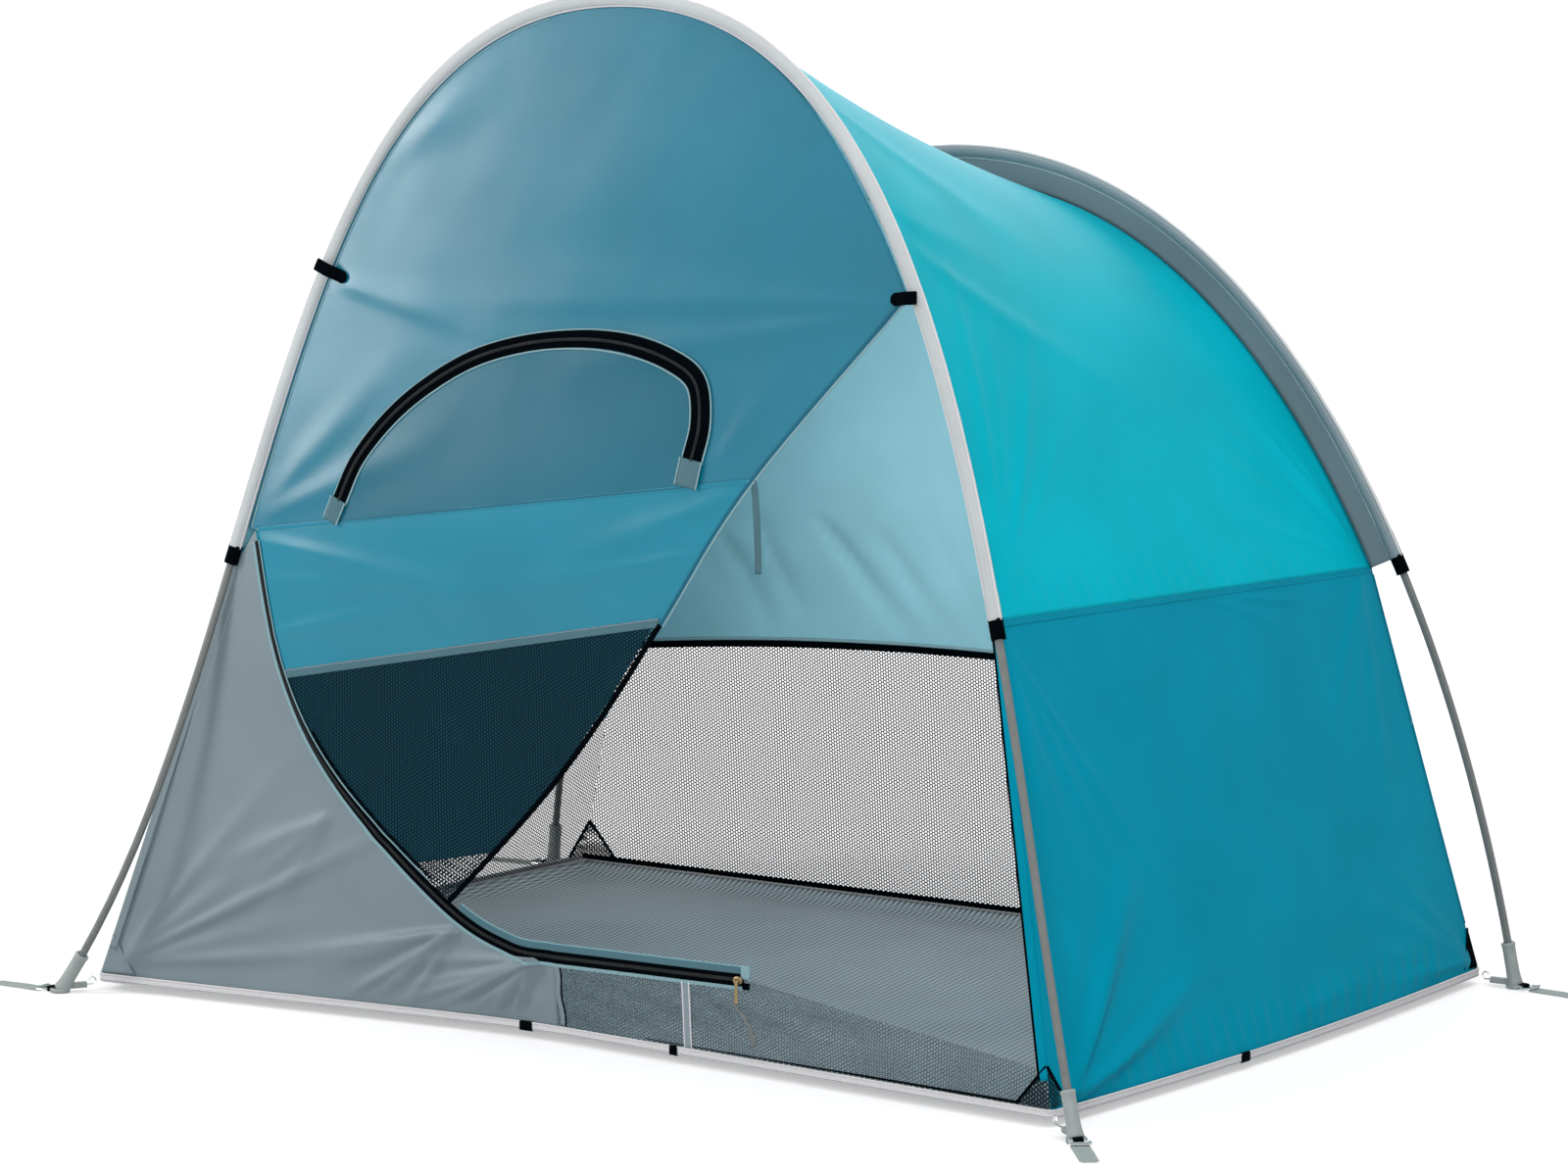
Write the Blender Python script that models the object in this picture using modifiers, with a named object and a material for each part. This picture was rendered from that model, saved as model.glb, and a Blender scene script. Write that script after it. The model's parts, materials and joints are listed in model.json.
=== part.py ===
"""Beach tent: two bent pole hoops that carry a canopy, walls, a floor and a zipped front door.

Metres, +Z up. X runs across the tent and Y from the front (-Y) to the rear. The origin is on the
ground, midway between the four feet.
"""

import bmesh
import bpy
import numpy as np
from mathutils import Matrix, Vector

# Hoops: sizes in metres, curve control points as shares of half the foot span and of the hoop's height
FOOT_SPAN = 1.80
FOOT_DEPTH = 1.26
FRONT_HEIGHT = 1.51
REAR_HEIGHT = 1.233
FRONT_LEAN_DEGREES = 8.9
REAR_LEAN_DEGREES = 5.5
FRONT_RIGHT_SHARES = ((1, 0), (0.788, 0.382), (0.639, 1), (0, 1))
FRONT_LEFT_SHARES = ((-1, 0), (-0.590, 0.364), (-0.740, 1), (0, 1))
REAR_RIGHT_SHARES = ((1, 0), (0.900, 0.515), (0.574, 1), (0, 1))
REAR_LEFT_SHARES = ((-1, 0), (-0.900, 0.515), (-0.574, 1), (0, 1))
CURVE_STEPS = 200

# Poles
POLE_RADIUS = 0.006
FERRULE_RISE = 0.130
POLE_JOINT_GAP = 0.0003
FERRULE_LENGTH = 0.070
FERRULE_WALL = 0.0012
POLE_CLEARANCE = 0.0007
LEG_POINTS = 17
CROWN_POINTS = 30

# Sleeves, their end bands and the strip behind the canopy
SLEEVE_RADIUS = 0.011
FRONT_SEAM_HEIGHT = 0.685
REAR_SEAM_HEIGHT = 0.650
BAND_LENGTH = 0.024
STRIP_WIDTH = 0.037
ARCH_SPANS = 28
TUBE_SIDES = 8

# Cloth
CLOTH = 0.0012
FLOOR_CLOTH = 0.0020
SEAM_GAP = 0.0004
LAYER_GAP = 0.0005
CORNER_GAP = CLOTH / 2 + SEAM_GAP
CANOPY_SAG = 0.022
CANOPY_STEPS = 6
WALL_STEPS = 6

# Base outline
RIGHT_CORNER_INSET = 0.075
LEFT_CORNER_INSET = 0.035
FRONT_CORNER_INSET = 0.055
REAR_CORNER_INSET = 0.065
BODY_RIGHT = FOOT_SPAN / 2 - RIGHT_CORNER_INSET
BODY_LEFT = FOOT_SPAN / 2 - LEFT_CORNER_INSET
BODY_FRONT = FOOT_DEPTH / 2 - FRONT_CORNER_INSET
REAR_CORNER = FOOT_SPAN / 2 - REAR_CORNER_INSET
FRONT_TUCK = 0.080
FRONT_TUCK_SHARE = -0.144
TUCK_SOFTNESS = 0.100
BEND_SOFTNESS = 0.090
WALL_BOTTOM = 0.0180
FLOOR_RIM = 0.0166
FLOOR_SLOPE = 0.070
BASE_SPANS = 18
RISE_SHARES = (0.25, 0.55, 1.0)
RISE_END_SHARE = 1.3
HEM_GAP = 0.0009
HEM_WIDTH = 0.010
HEM_THICKNESS = 0.0020

# Front wall, as shares of half the foot span and of the front hoop's height
ZIP_SHARES = ((-0.670, 0.472), (-0.605, 0.321), (-0.487, 0.201), (-0.288, 0.110), (-0.110, 0.083))
ZIP_END_SHARES = (0.314, 0.090)
EDGE_SHARES = ((0.561, 0.737), (0.310, 0.561), (0.152, 0.420), (-0.046, 0.269), (-0.288, 0.110))
PANEL_STANDOFF = 0.0030
PANEL_SEAM_SHARES = (-0.072, WALL_BOTTOM / FRONT_HEIGHT)
LIP_END_SHARES = (0.890, 0.052)
WINDOW_LEFT_SHARES = ((-0.495, 0.508), (-0.373, 0.608), (-0.148, 0.672))
WINDOW_RIGHT_SHARES = ((0.063, 0.679), (0.194, 0.649), (0.199, 0.575))
FLAP_END_SHARE = 0.80
FLAP_INSET_SHARE = 0.02
SPAN_STEPS = 6
DOOR_STEPS = 8

# Door zip, window zip and tie strap
TRACK_WIDTH = 0.022
TRACK_THICKNESS = 0.0016
TRACK_SKIP_STEPS = 3
STRAIGHT_FROM_STEPS = 2
WINDOW_CURVE_STEPS = 4
WINDOW_ZIP_WIDTH = 0.028
SLIDER_LENGTH = 0.016
SLIDER_WIDTH = 0.011
SLIDER_THICKNESS = 0.0045
SLIDER_EAR = 0.0022
PULL_LENGTH = 0.034
PULL_WIDTH = 0.0075
PULL_THICKNESS = 0.0016
PULL_BAR_RADIUS = 0.0009
EAR_LIP = 0.00045
TIE_LENGTH = 0.134
TIE_WIDTH = 0.013

# Walls with mesh windows
REAR_WINDOW_HEIGHT = 0.391
REAR_WINDOW_RISE = 0.046
REAR_WINDOW_FADE_ROWS = 6
REAR_WINDOW_SIDE_ROWS = 3
LEFT_WINDOW_SHARE = 0.40

# Feet
BOOT_RADIUS = 0.0105
BOOT_LENGTH = 0.066
BOOT_START = 0.0050
BOOT_FLOOR = 0.0140
BASE_RADIUS = 0.0150
BASE_HEIGHT = 0.0060
ARM_REACH = 0.040
ARM_WIDTH = 0.012
ARM_BOTTOM = 0.0035
ARM_TOP = 0.0130
LUG_REACH = 0.0215
LUG_WIDTH = 0.013
LUG_BOTTOM = 0.0010
LUG_TOP = 0.0090
RING_WIRE = 0.0015
RING_HEIGHT = 0.0040
RING_NEAR = 0.0175
RING_LENGTH = 0.0165
RING_WIDTH = 0.032
RING_CORNER = 0.0030
TAB_LENGTH = 0.092
TAB_WIDTH = 0.027
TAB_THICKNESS = 0.0018
BAR_CLEARANCE = 0.0004
LOOP_WALL = 0.0016
HOOK_WIRE = 0.0016
HOOK_HEIGHT = 0.0085
HOOK_CURL = 0.0055
HOOK_STANDOFF = 0.0075
TAB_YAW_DEGREES = {"front_right": -50.0, "front_left": 180.0, "rear_right": -6.0, "rear_left": 186.0}

# Corner gussets and toggles
GUSSET_ALONG_FRONT = 0.060
GUSSET_ALONG_SIDE = 0.042
GUSSET_HEIGHT = 0.064
TOGGLE_RADIUS = 0.0040
TOGGLE_LENGTH = 0.034
TOGGLE_HEIGHT = 1.106

# Sides of the round parts
BOOT_SIDES = 14
BASE_SIDES = 20
TOGGLE_SIDES = 12

HALF_SPAN = FOOT_SPAN / 2
FRONT_LEAN = np.tan(np.radians(FRONT_LEAN_DEGREES))
REAR_LEAN = -np.tan(np.radians(REAR_LEAN_DEGREES))
FRONT_FOOT = -FOOT_DEPTH / 2
REAR_FOOT = FOOT_DEPTH / 2
WELD = 1e-5

COLOURS = {
    "pole_grey": ("6E6F70", 0.45, 0.6),
    "ferrule_steel": ("B9BCBE", 0.30, 1.0),
    "sleeve_white": ("D9D6DA", 0.70, 0.0),
    "strap_black": ("0B0F14", 0.70, 0.0),
    "strip_grey": ("8E979B", 0.65, 0.0),
    "canopy_turquoise": ("00AEC4", 0.50, 0.0),
    "wall_turquoise": ("008BA0", 0.50, 0.0),
    "inner_turquoise": ("6FA9B6", 0.60, 0.0),
    "door_teal": ("4E8796", 0.55, 0.0),
    "band_turquoise": ("2F86A0", 0.55, 0.0),
    "mesh_dark": ("1F3B47", 0.80, 0.0),
    "mesh_grey": ("A9B2B6", 0.80, 0.0),
    "flap_teal": ("0D4351", 0.65, 0.0),
    "panel_grey": ("7F8C92", 0.60, 0.0),
    "floor_grey": ("8C9599", 0.70, 0.0),
    "hem_grey": ("CFCBD0", 0.70, 0.0),
    "boot_grey": ("7C8483", 0.50, 0.0),
    "tab_grey": ("8E9A98", 0.70, 0.0),
    "steel": ("C9CCCB", 0.25, 1.0),
    "brass": ("B09A66", 0.30, 1.0),
}


def clear_scene():
    for existing in list(bpy.data.objects):
        bpy.data.objects.remove(existing, do_unlink=True)


def linear(hex_colour):
    values = np.array([int(hex_colour[i : i + 2], 16) for i in (0, 2, 4)]) / 255
    return np.where(values <= 0.04045, values / 12.92, ((values + 0.055) / 1.055) ** 2.4)


def material(name):
    """The named finish as a Principled material, made once."""
    found = bpy.data.materials.get(name)
    if found:
        return found
    colour, roughness, metallic = COLOURS[name]
    made = bpy.data.materials.new(name)
    made.use_nodes = True
    shader = made.node_tree.nodes["Principled BSDF"]
    shader.inputs["Base Color"].default_value = (*linear(colour), 1)
    shader.inputs["Roughness"].default_value = roughness
    shader.inputs["Metallic"].default_value = metallic
    return made


def collection(name):
    made = bpy.data.collections.new(name)
    bpy.context.scene.collection.children.link(made)
    return made


def add(name, data, finish, place=None):
    """A new part object with its finish."""
    part = bpy.data.objects.new(name, data)
    PARTS.objects.link(part)
    data.materials.append(material(finish))
    if place is not None:
        part.matrix_world = place
    return part


def unit(vector):
    return vector / np.linalg.norm(vector)


def along(points, places):
    """Points at these distances along a line of points."""
    points = np.asarray(points, float)
    steps = np.linalg.norm(np.diff(points, axis=0), axis=1)
    far = np.concatenate([[0], np.cumsum(steps)])
    return np.stack([np.interp(places, far, points[:, i]) for i in range(points.shape[1])], -1)


def length_of(points):
    return np.linalg.norm(np.diff(points, axis=0), axis=1).sum()


def even(points, count):
    """This many points spread evenly along a line of points."""
    return along(points, np.linspace(0, length_of(points), count))


def cubic(controls, steps):
    """Points on the cubic curve of four control points."""
    t = np.linspace(0, 1, steps + 1)[:, None]
    a, b, c, d = np.asarray(controls, float)
    return (1 - t) ** 3 * a + 3 * (1 - t) ** 2 * t * b + 3 * (1 - t) * t**2 * c + t**3 * d


def through(points, steps):
    """A smooth curve through the points, with this many steps between neighbours."""
    points = np.asarray(points, float)
    before = 2 * points[0] - points[1]
    after = 2 * points[-1] - points[-2]
    padded = np.vstack([before, points, after])
    t = np.linspace(0, 1, steps, endpoint=False)[:, None]
    runs = []
    for p, q, r, s in zip(padded, padded[1:], padded[2:], padded[3:]):
        leave = (r - p) / 2
        arrive = (s - q) / 2
        start = (2 * t**3 - 3 * t**2 + 1) * q + (t**3 - 2 * t**2 + t) * leave
        end = (3 * t**2 - 2 * t**3) * r + (t**3 - t**2) * arrive
        runs.append(start + end)
    return np.vstack([*runs, points[-1:]])


def ramp(distance, softness):
    """Zero below, the distance itself above, with a rounded bend of this half width between."""
    rounded = (distance + softness) ** 2 / (4 * softness)
    return np.where(distance < -softness, 0, np.where(distance > softness, distance, rounded))


def sheet(name, rows, finish, thickness=CLOTH, closed_rows=False, closed_columns=False):
    """A cloth or wall of this thickness whose middle passes through a grid of points."""
    rows = np.asarray(rows, float)
    count, width = rows.shape[:2]
    work = bmesh.new()
    corners = [[work.verts.new(point) for point in row] for row in rows]
    for i in range(count if closed_rows else count - 1):
        for j in range(width if closed_columns else width - 1):
            below = corners[(i + 1) % count]
            here = corners[i]
            work.faces.new((here[j], here[(j + 1) % width], below[(j + 1) % width], below[j]))
    bmesh.ops.remove_doubles(work, verts=work.verts, dist=WELD)
    bmesh.ops.recalc_face_normals(work, faces=work.faces)
    mesh = bpy.data.meshes.new(name)
    work.to_mesh(mesh)
    work.free()
    mesh.shade_smooth()
    part = add(name, mesh, finish)
    wall = part.modifiers.new("Thickness", "SOLIDIFY")
    wall.thickness = thickness
    wall.offset = 0
    return part


def ruled(side_a, side_b, steps):
    """Grid rows that run straight from each point of one side to its partner on the other."""
    share = np.linspace(0, 1, steps + 1)[None, :, None]
    return np.asarray(side_a)[:, None] * (1 - share) + np.asarray(side_b)[:, None] * share


def trimmed(rows, start=SEAM_GAP, end=SEAM_GAP, left=SEAM_GAP, right=SEAM_GAP):
    """The grid with its four edges drawn in by these distances."""
    rows = np.array(rows, float)
    for here, inner, distance in (
        (rows[0], rows[1], start),
        (rows[-1], rows[-2], end),
        (rows[:, 0], rows[:, 1], left),
        (rows[:, -1], rows[:, -2], right),
    ):
        gap = inner - here
        size = np.linalg.norm(gap, axis=-1, keepdims=True)
        here += gap / np.maximum(size, WELD) * np.minimum(distance, size / 2)
    return rows


def tube(name, points, radius, finish, resolution=2, closed=False):
    """A round bar that follows the points."""
    curve = bpy.data.curves.new(name, "CURVE")
    curve.dimensions = "3D"
    spline = curve.splines.new("POLY")
    spline.points.add(len(points) - 1)
    for target, point in zip(spline.points, points):
        target.co = (*point, 1)
    spline.use_cyclic_u = closed
    curve.bevel_depth = radius
    curve.bevel_resolution = resolution
    curve.use_fill_caps = not closed
    return add(name, curve, finish)


def pipe(name, centres, flat, radius, wall, finish):
    """A hollow tube with open ends. flat is the normal of the plane that its line lies in."""
    centres = np.asarray(centres, float)
    tangents = np.gradient(centres, axis=0)
    tangents /= np.linalg.norm(tangents, axis=1, keepdims=True)
    across = np.cross(tangents, flat)
    turn = np.linspace(0, 2 * np.pi, TUBE_SIDES, endpoint=False)
    middle = radius - wall / 2
    ring = np.cos(turn)[None, :, None] * across[:, None] + np.sin(turn)[None, :, None] * flat
    return sheet(name, centres[:, None] + middle * ring, finish, wall, closed_columns=True)


def cut_by(part, cutter, operation):
    """Adds a Boolean of a helper object, which isn't rendered."""
    cutter.hide_render = True
    cutter.display_type = "WIRE"
    boolean = part.modifiers.new(cutter.name, "BOOLEAN")
    boolean.operation = operation
    boolean.solver = "EXACT"
    boolean.object = cutter


def helper(name, mesh, place):
    made = bpy.data.objects.new(name, mesh)
    CUTTERS.objects.link(made)
    made.matrix_world = place
    return made


def cylinder_mesh(name, radius, low, high, sides=BOOT_SIDES):
    """A cylinder on the Z axis between two heights."""
    work = bmesh.new()
    lift = Matrix.Translation((0, 0, (low + high) / 2))
    bmesh.ops.create_cone(
        work, cap_ends=True, segments=sides, radius1=radius, radius2=radius, depth=high - low, matrix=lift
    )
    mesh = bpy.data.meshes.new(name)
    work.to_mesh(mesh)
    work.free()
    return mesh


def box_mesh(name, low, high):
    """A box between two corners."""
    work = bmesh.new()
    bmesh.ops.create_cube(work, size=1)
    low = Vector(low)
    high = Vector(high)
    bmesh.ops.scale(work, vec=high - low, verts=work.verts)
    bmesh.ops.translate(work, vec=(low + high) / 2, verts=work.verts)
    mesh = bpy.data.meshes.new(name)
    work.to_mesh(mesh)
    work.free()
    return mesh


class Hoop:
    """One bent pole: its line from the right foot over the top to the left foot, and its plane."""

    def __init__(self, right_shares, left_shares, height, foot, lean, seam_height):
        size = np.array((HALF_SPAN, height))
        right = cubic(right_shares, CURVE_STEPS) * size
        left = cubic(left_shares, CURVE_STEPS) * size
        flat = np.vstack([right, left[-2::-1]])
        self.foot = foot
        self.lean = lean
        self.line = np.stack([flat[:, 0], foot + lean * flat[:, 1], flat[:, 1]], -1)
        self.normal = unit(np.array((0, 1, -lean)))
        self.total = length_of(self.line)
        steps = np.linalg.norm(np.diff(self.line, axis=0), axis=1)
        far = np.concatenate([[0], np.cumsum(steps)])
        self.start = np.interp(seam_height, self.line[: CURVE_STEPS + 1, 2], far[: CURVE_STEPS + 1])
        self.end = np.interp(-seam_height, -self.line[CURVE_STEPS:, 2], far[CURVE_STEPS:])
        self.stations = along(self.line, np.linspace(self.start, self.end, ARCH_SPANS + 1))

    def inward(self):
        """At each station, the step towards the inside that keeps a line parallel to the arch."""
        runs = np.diff(self.stations, axis=0)
        sides = np.cross(self.normal, runs)
        sides /= np.linalg.norm(sides, axis=1, keepdims=True)
        first = np.vstack([sides[:1], sides])
        last = np.vstack([sides, sides[-1:]])
        both = first + last
        both /= np.linalg.norm(both, axis=1, keepdims=True)
        if both[len(both) // 2, 2] > 0:
            both = -both
        return both / np.abs((both * last).sum(1, keepdims=True))

    def inset(self, distance):
        return self.stations + self.inward() * distance


def plane_y(hoop, height):
    return hoop.foot + hoop.lean * height


def hem_y(x):
    """The front hem: straight from each corner to where the zipped door tucks it in."""
    middle = FRONT_TUCK_SHARE * HALF_SPAN
    right_slope = FRONT_TUCK / (BODY_RIGHT - middle)
    left_slope = FRONT_TUCK / (BODY_LEFT + middle)
    tuck = (x + BODY_LEFT) * left_slope - (left_slope + right_slope) * ramp(x - middle, TUCK_SOFTNESS)
    return -BODY_FRONT + tuck


def front_y(x, z):
    """The front wall: the hoop's plane above the seam, and straight down to the hem below it."""
    top = plane_y(FRONT, FRONT_SEAM_HEIGHT)
    low_slope = (top - hem_y(x)) / (FRONT_SEAM_HEIGHT - WALL_BOTTOM)
    up = z - FRONT_SEAM_HEIGHT
    return top + low_slope * up + (FRONT_LEAN - low_slope) * ramp(up, BEND_SOFTNESS)


def on_front(points, forward=0):
    """Points given as (x, z), put on the front wall or this far in front of it."""
    points = np.asarray(points, float)
    x = points[..., 0]
    z = points[..., 1]
    return np.stack([x, front_y(x, z) - forward, z], -1)


def front_outline(shares, steps=SPAN_STEPS):
    return through(np.asarray(shares, float) * (HALF_SPAN, FRONT_HEIGHT), steps)


def front_patch(name, side_a, side_b, steps, finish, forward=0, thickness=CLOTH, **gaps):
    rows = trimmed(on_front(ruled(side_a, side_b, steps), forward), **gaps)
    return sheet(name, rows, finish, thickness)


def ribbon_rows(line, width, forward):
    """A tape on the front wall: rows across a line of (x, z) points."""
    line = np.asarray(line, float)
    tangents = np.gradient(line, axis=0)
    tangents /= np.linalg.norm(tangents, axis=1, keepdims=True)
    across = np.stack([-tangents[:, 1], tangents[:, 0]], -1)
    offsets = np.array((-width / 2, 0, width / 2))[None, :, None]
    return on_front(line[:, None] + across[:, None] * offsets, forward)


def make_poles(name, hoop):
    """Two legs, the crown arc between them and a ferrule over each joint."""
    joints = (hoop.start + FERRULE_RISE, hoop.end - FERRULE_RISE)
    boot_top = BOOT_START + BOOT_LENGTH
    half_gap = POLE_JOINT_GAP / 2
    half_ferrule = FERRULE_LENGTH / 2
    reaches = {"right": joints[0], "left": hoop.total - joints[1]}
    for side, reach in reaches.items():
        upper = np.append(np.linspace(boot_top, reach - half_ferrule, LEG_POINTS), reach - half_gap)
        leg = along(hoop.line, upper if side == "right" else hoop.total - upper)
        foot = hoop.line[0] if side == "right" else hoop.line[-1]
        start = foot + unit(leg[0] - foot) * (BOOT_FLOOR + POLE_JOINT_GAP)
        tube(f"{name}_pole_{side}_leg", np.vstack([start, leg]), POLE_RADIUS, "pole_grey")
    arc = np.linspace(joints[0] + half_ferrule, joints[1] - half_ferrule, CROWN_POINTS)
    arc = np.concatenate([[joints[0] + half_gap], arc, [joints[1] - half_gap]])
    tube(f"{name}_pole_crown", along(hoop.line, arc), POLE_RADIUS, "pole_grey")
    for side, joint in zip(("right", "left"), joints):
        around = along(hoop.line, joint + half_ferrule * np.array((-1, 0, 1)))
        outer = POLE_RADIUS + POLE_CLEARANCE + FERRULE_WALL
        pipe(f"{name}_ferrule_{side}", around, hoop.normal, outer, FERRULE_WALL, "ferrule_steel")


def make_sleeve(name, hoop):
    """The cloth tube round the arch and the black band at each of its ends."""
    pipe(f"{name}_sleeve", hoop.stations, hoop.normal, SLEEVE_RADIUS, CLOTH, "sleeve_white")
    wall = SLEEVE_RADIUS - POLE_RADIUS - POLE_CLEARANCE
    ends = {
        "right": hoop.start - SEAM_GAP - BAND_LENGTH * np.linspace(0, 1, 3),
        "left": hoop.end + SEAM_GAP + BAND_LENGTH * np.linspace(0, 1, 3),
    }
    for side, places in ends.items():
        line = along(hoop.line, places)
        pipe(f"{name}_sleeve_band_{side}", line, hoop.normal, SLEEVE_RADIUS, wall, "strap_black")


def canopy_edges():
    """The canopy's front edge behind the front sleeve and its rear edge at the strip."""
    behind = SLEEVE_RADIUS + LAYER_GAP
    front = FRONT.stations + FRONT.normal * behind
    rear = REAR.inset(SLEEVE_RADIUS + LAYER_GAP + STRIP_WIDTH) - REAR.normal * CORNER_GAP
    return front, rear


def make_canopy():
    """The roof, drawn in between the hoops where nothing holds it."""
    front, rear = canopy_edges()
    rows = ruled(front, rear, CANOPY_STEPS)
    over = np.sin(np.pi * np.linspace(0, 1, ARCH_SPANS + 1))[:, None, None]
    between = np.sin(np.pi * np.linspace(0, 1, CANOPY_STEPS + 1))[None, :, None]
    inward = (FRONT.inward() + REAR.inward())[:, None] / 2
    rows = rows + inward * over * between * CANOPY_SAG
    sheet("canopy", trimmed(rows, left=0, right=0), "canopy_turquoise")


def make_strip():
    inner = REAR.inset(SLEEVE_RADIUS + LAYER_GAP + STRIP_WIDTH)
    outer = REAR.inset(SLEEVE_RADIUS + LAYER_GAP)
    sheet("rear_strip", trimmed(ruled(inner, outer, 1), right=0), "strip_grey")


def wall_edges(side):
    """The side wall's front and rear edges, from the seam down to the hem."""
    front, rear = canopy_edges()
    at = 0 if side > 0 else -1
    body_front = BODY_RIGHT if side > 0 else -BODY_LEFT
    corner_front = np.array((body_front, -BODY_FRONT, WALL_BOTTOM))
    corner_rear = rear_corner(side)
    front_edge = np.linspace(front[at], corner_front, WALL_STEPS + 1)
    rear_edge = np.linspace(rear[at], corner_rear, WALL_STEPS + 1)
    return front_edge, rear_edge


def rear_corner(side):
    return np.array((side * REAR_CORNER, plane_y(REAR, WALL_BOTTOM), WALL_BOTTOM))


def make_side_walls():
    """The right wall is one panel. The left one has a mesh window below."""
    front, rear = wall_edges(1)
    rows = ruled(front, rear, CANOPY_STEPS)
    sheet("right_wall", trimmed(rows, left=CORNER_GAP, right=CORNER_GAP), "wall_turquoise")
    front, rear = wall_edges(-1)
    split = 1 - LEFT_WINDOW_SHARE
    parts = {
        "left_wall": (0, split, "wall_turquoise"),
        "left_window_mesh": (split, 1, "mesh_grey"),
    }
    for name, (low, high, finish) in parts.items():
        share = np.linspace(low, high, WALL_STEPS // 2 + 1)[:, None]
        side_a = front[0] * (1 - share) + front[-1] * share
        side_b = rear[0] * (1 - share) + rear[-1] * share
        rows = ruled(side_a, side_b, CANOPY_STEPS)
        sheet(name, trimmed(rows, left=CORNER_GAP, right=CORNER_GAP), finish)


def make_rear_wall():
    """Cloth in the rear hoop's plane above a mesh window with an arched top."""
    inset = REAR.inset(SLEEVE_RADIUS + LAYER_GAP + STRIP_WIDTH)
    middle = ARCH_SPANS // 2
    window = np.array((0, plane_y(REAR, REAR_WINDOW_HEIGHT), REAR_WINDOW_HEIGHT))
    sides = []
    for side, upper in ((1, inset[: middle + 1]), (-1, inset[: middle - 1 : -1])):
        corner = rear_corner(side)
        share = (REAR_WINDOW_HEIGHT - WALL_BOTTOM) / (upper[0, 2] - WALL_BOTTOM)
        window[0] = corner[0] + (upper[0, 0] - corner[0]) * share
        lower = np.linspace(window, upper[0], REAR_WINDOW_SIDE_ROWS + 1)[:-1]
        sides.append(np.vstack([lower, upper]))
    rows = ruled(sides[0], sides[1], DOOR_STEPS)
    rise = REAR_WINDOW_RISE * (1 - np.linspace(-1, 1, DOOR_STEPS + 1) ** 2)
    fade = np.clip(1 - np.arange(len(rows)) / REAR_WINDOW_FADE_ROWS, 0, 1)[:, None] ** 2
    rows[:, :, 2] += rise[None] * fade
    rows[:, :, 1] = plane_y(REAR, rows[:, :, 2])
    top = rows[0]
    bottom = np.linspace(rear_corner(1), rear_corner(-1), DOOR_STEPS + 1)
    sheet("rear_wall", trimmed(rows, end=0), "inner_turquoise")
    mesh_rows = ruled(bottom, top, WALL_STEPS // 2).transpose(1, 0, 2)
    sheet("rear_window_mesh", trimmed(mesh_rows), "mesh_grey")


def base_shares(spans):
    """Places along an edge of the base: even, and closer together where the floor rises at its ends."""
    rise = FLOOR_SLOPE / FOOT_SPAN
    close = rise * np.array(RISE_SHARES)
    evenly = np.linspace(0, 1, spans + 1)
    edge = rise * RISE_END_SHARE
    evenly = evenly[(evenly > edge) & (evenly < 1 - edge)]
    return np.concatenate([[0], close, evenly, 1 - close[::-1], [1]])


def make_floor():
    """A cloth tub: flat on the ground, and rising to the hem along its edges."""
    u, v = np.meshgrid(base_shares(BASE_SPANS), base_shares(BASE_SPANS // 3), indexing="ij")
    front_x = -BODY_LEFT + (BODY_LEFT + BODY_RIGHT) * u
    rear_x = -REAR_CORNER + 2 * REAR_CORNER * u
    x = front_x + (rear_x - front_x) * v
    front = hem_y(front_x)
    y = front + (plane_y(REAR, WALL_BOTTOM) - front) * v
    edge = np.minimum(np.minimum(u, 1 - u) * FOOT_SPAN, np.minimum(v, 1 - v) * FOOT_DEPTH)
    lift = np.clip(1 - edge / FLOOR_SLOPE, 0, 1) ** 2
    z = FLOOR_CLOTH / 2 + (FLOOR_RIM - FLOOR_CLOTH / 2) * lift
    rows = np.stack([x, y, z], -1)
    sheet("floor", trimmed(rows), "floor_grey", FLOOR_CLOTH)


def make_hem():
    """The tape round the base, outside the walls' lower edge."""
    out = CLOTH / 2 + HEM_GAP + HEM_THICKNESS / 2
    front_x = -BODY_LEFT + (BODY_LEFT + BODY_RIGHT) * base_shares(BASE_SPANS)
    front_y_line = hem_y(front_x) - out
    front_x[0] -= out
    front_x[-1] += out
    front = np.stack([front_x, front_y_line], -1)
    rear_x = REAR_CORNER + out
    rear_y = plane_y(REAR, WALL_BOTTOM) + out
    outline = np.vstack([front, [(rear_x, rear_y), (-rear_x, rear_y)]])
    heights = WALL_BOTTOM + HEM_WIDTH * np.array((-0.5, 0.5))
    rows = [[(x, y, z) for z in heights] for x, y in outline]
    sheet("hem_tape", rows, "hem_grey", HEM_THICKNESS, closed_rows=True)


def make_gussets():
    """A folded black triangle over each bottom corner."""
    out = CLOTH / 2 + LAYER_GAP + CLOTH / 2
    low = WALL_BOTTOM + HEM_WIDTH / 2 + SEAM_GAP
    for name, (x_side, y_side) in CORNERS.items():
        front, rear = wall_edges(x_side)
        edge = front if y_side < 0 else rear
        up = unit(edge[0] - edge[-1])
        corner = edge[-1] + np.array((x_side * out, y_side * out, 0))
        foot = corner + up * (low - WALL_BOTTOM) / up[2]
        apex = corner + up * GUSSET_HEIGHT / up[2]
        along_side = unit((rear[-1] - front[-1]) * -y_side)
        inside = edge[-1, 0] - x_side * GUSSET_ALONG_FRONT
        rise = hem_y(inside) - hem_y(edge[-1, 0]) if y_side < 0 else 0
        along_front = unit(np.array((inside - edge[-1, 0], rise, 0)))
        ends = (foot + along_front * GUSSET_ALONG_FRONT, foot + along_side * GUSSET_ALONG_SIDE)
        rows = [
            [ends[0], foot, ends[1]],
            [(ends[0] + apex) / 2, (foot + apex) / 2, (ends[1] + apex) / 2],
            [apex, apex, apex],
        ]
        sheet(f"gusset_{name}", rows, "strap_black")


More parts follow.
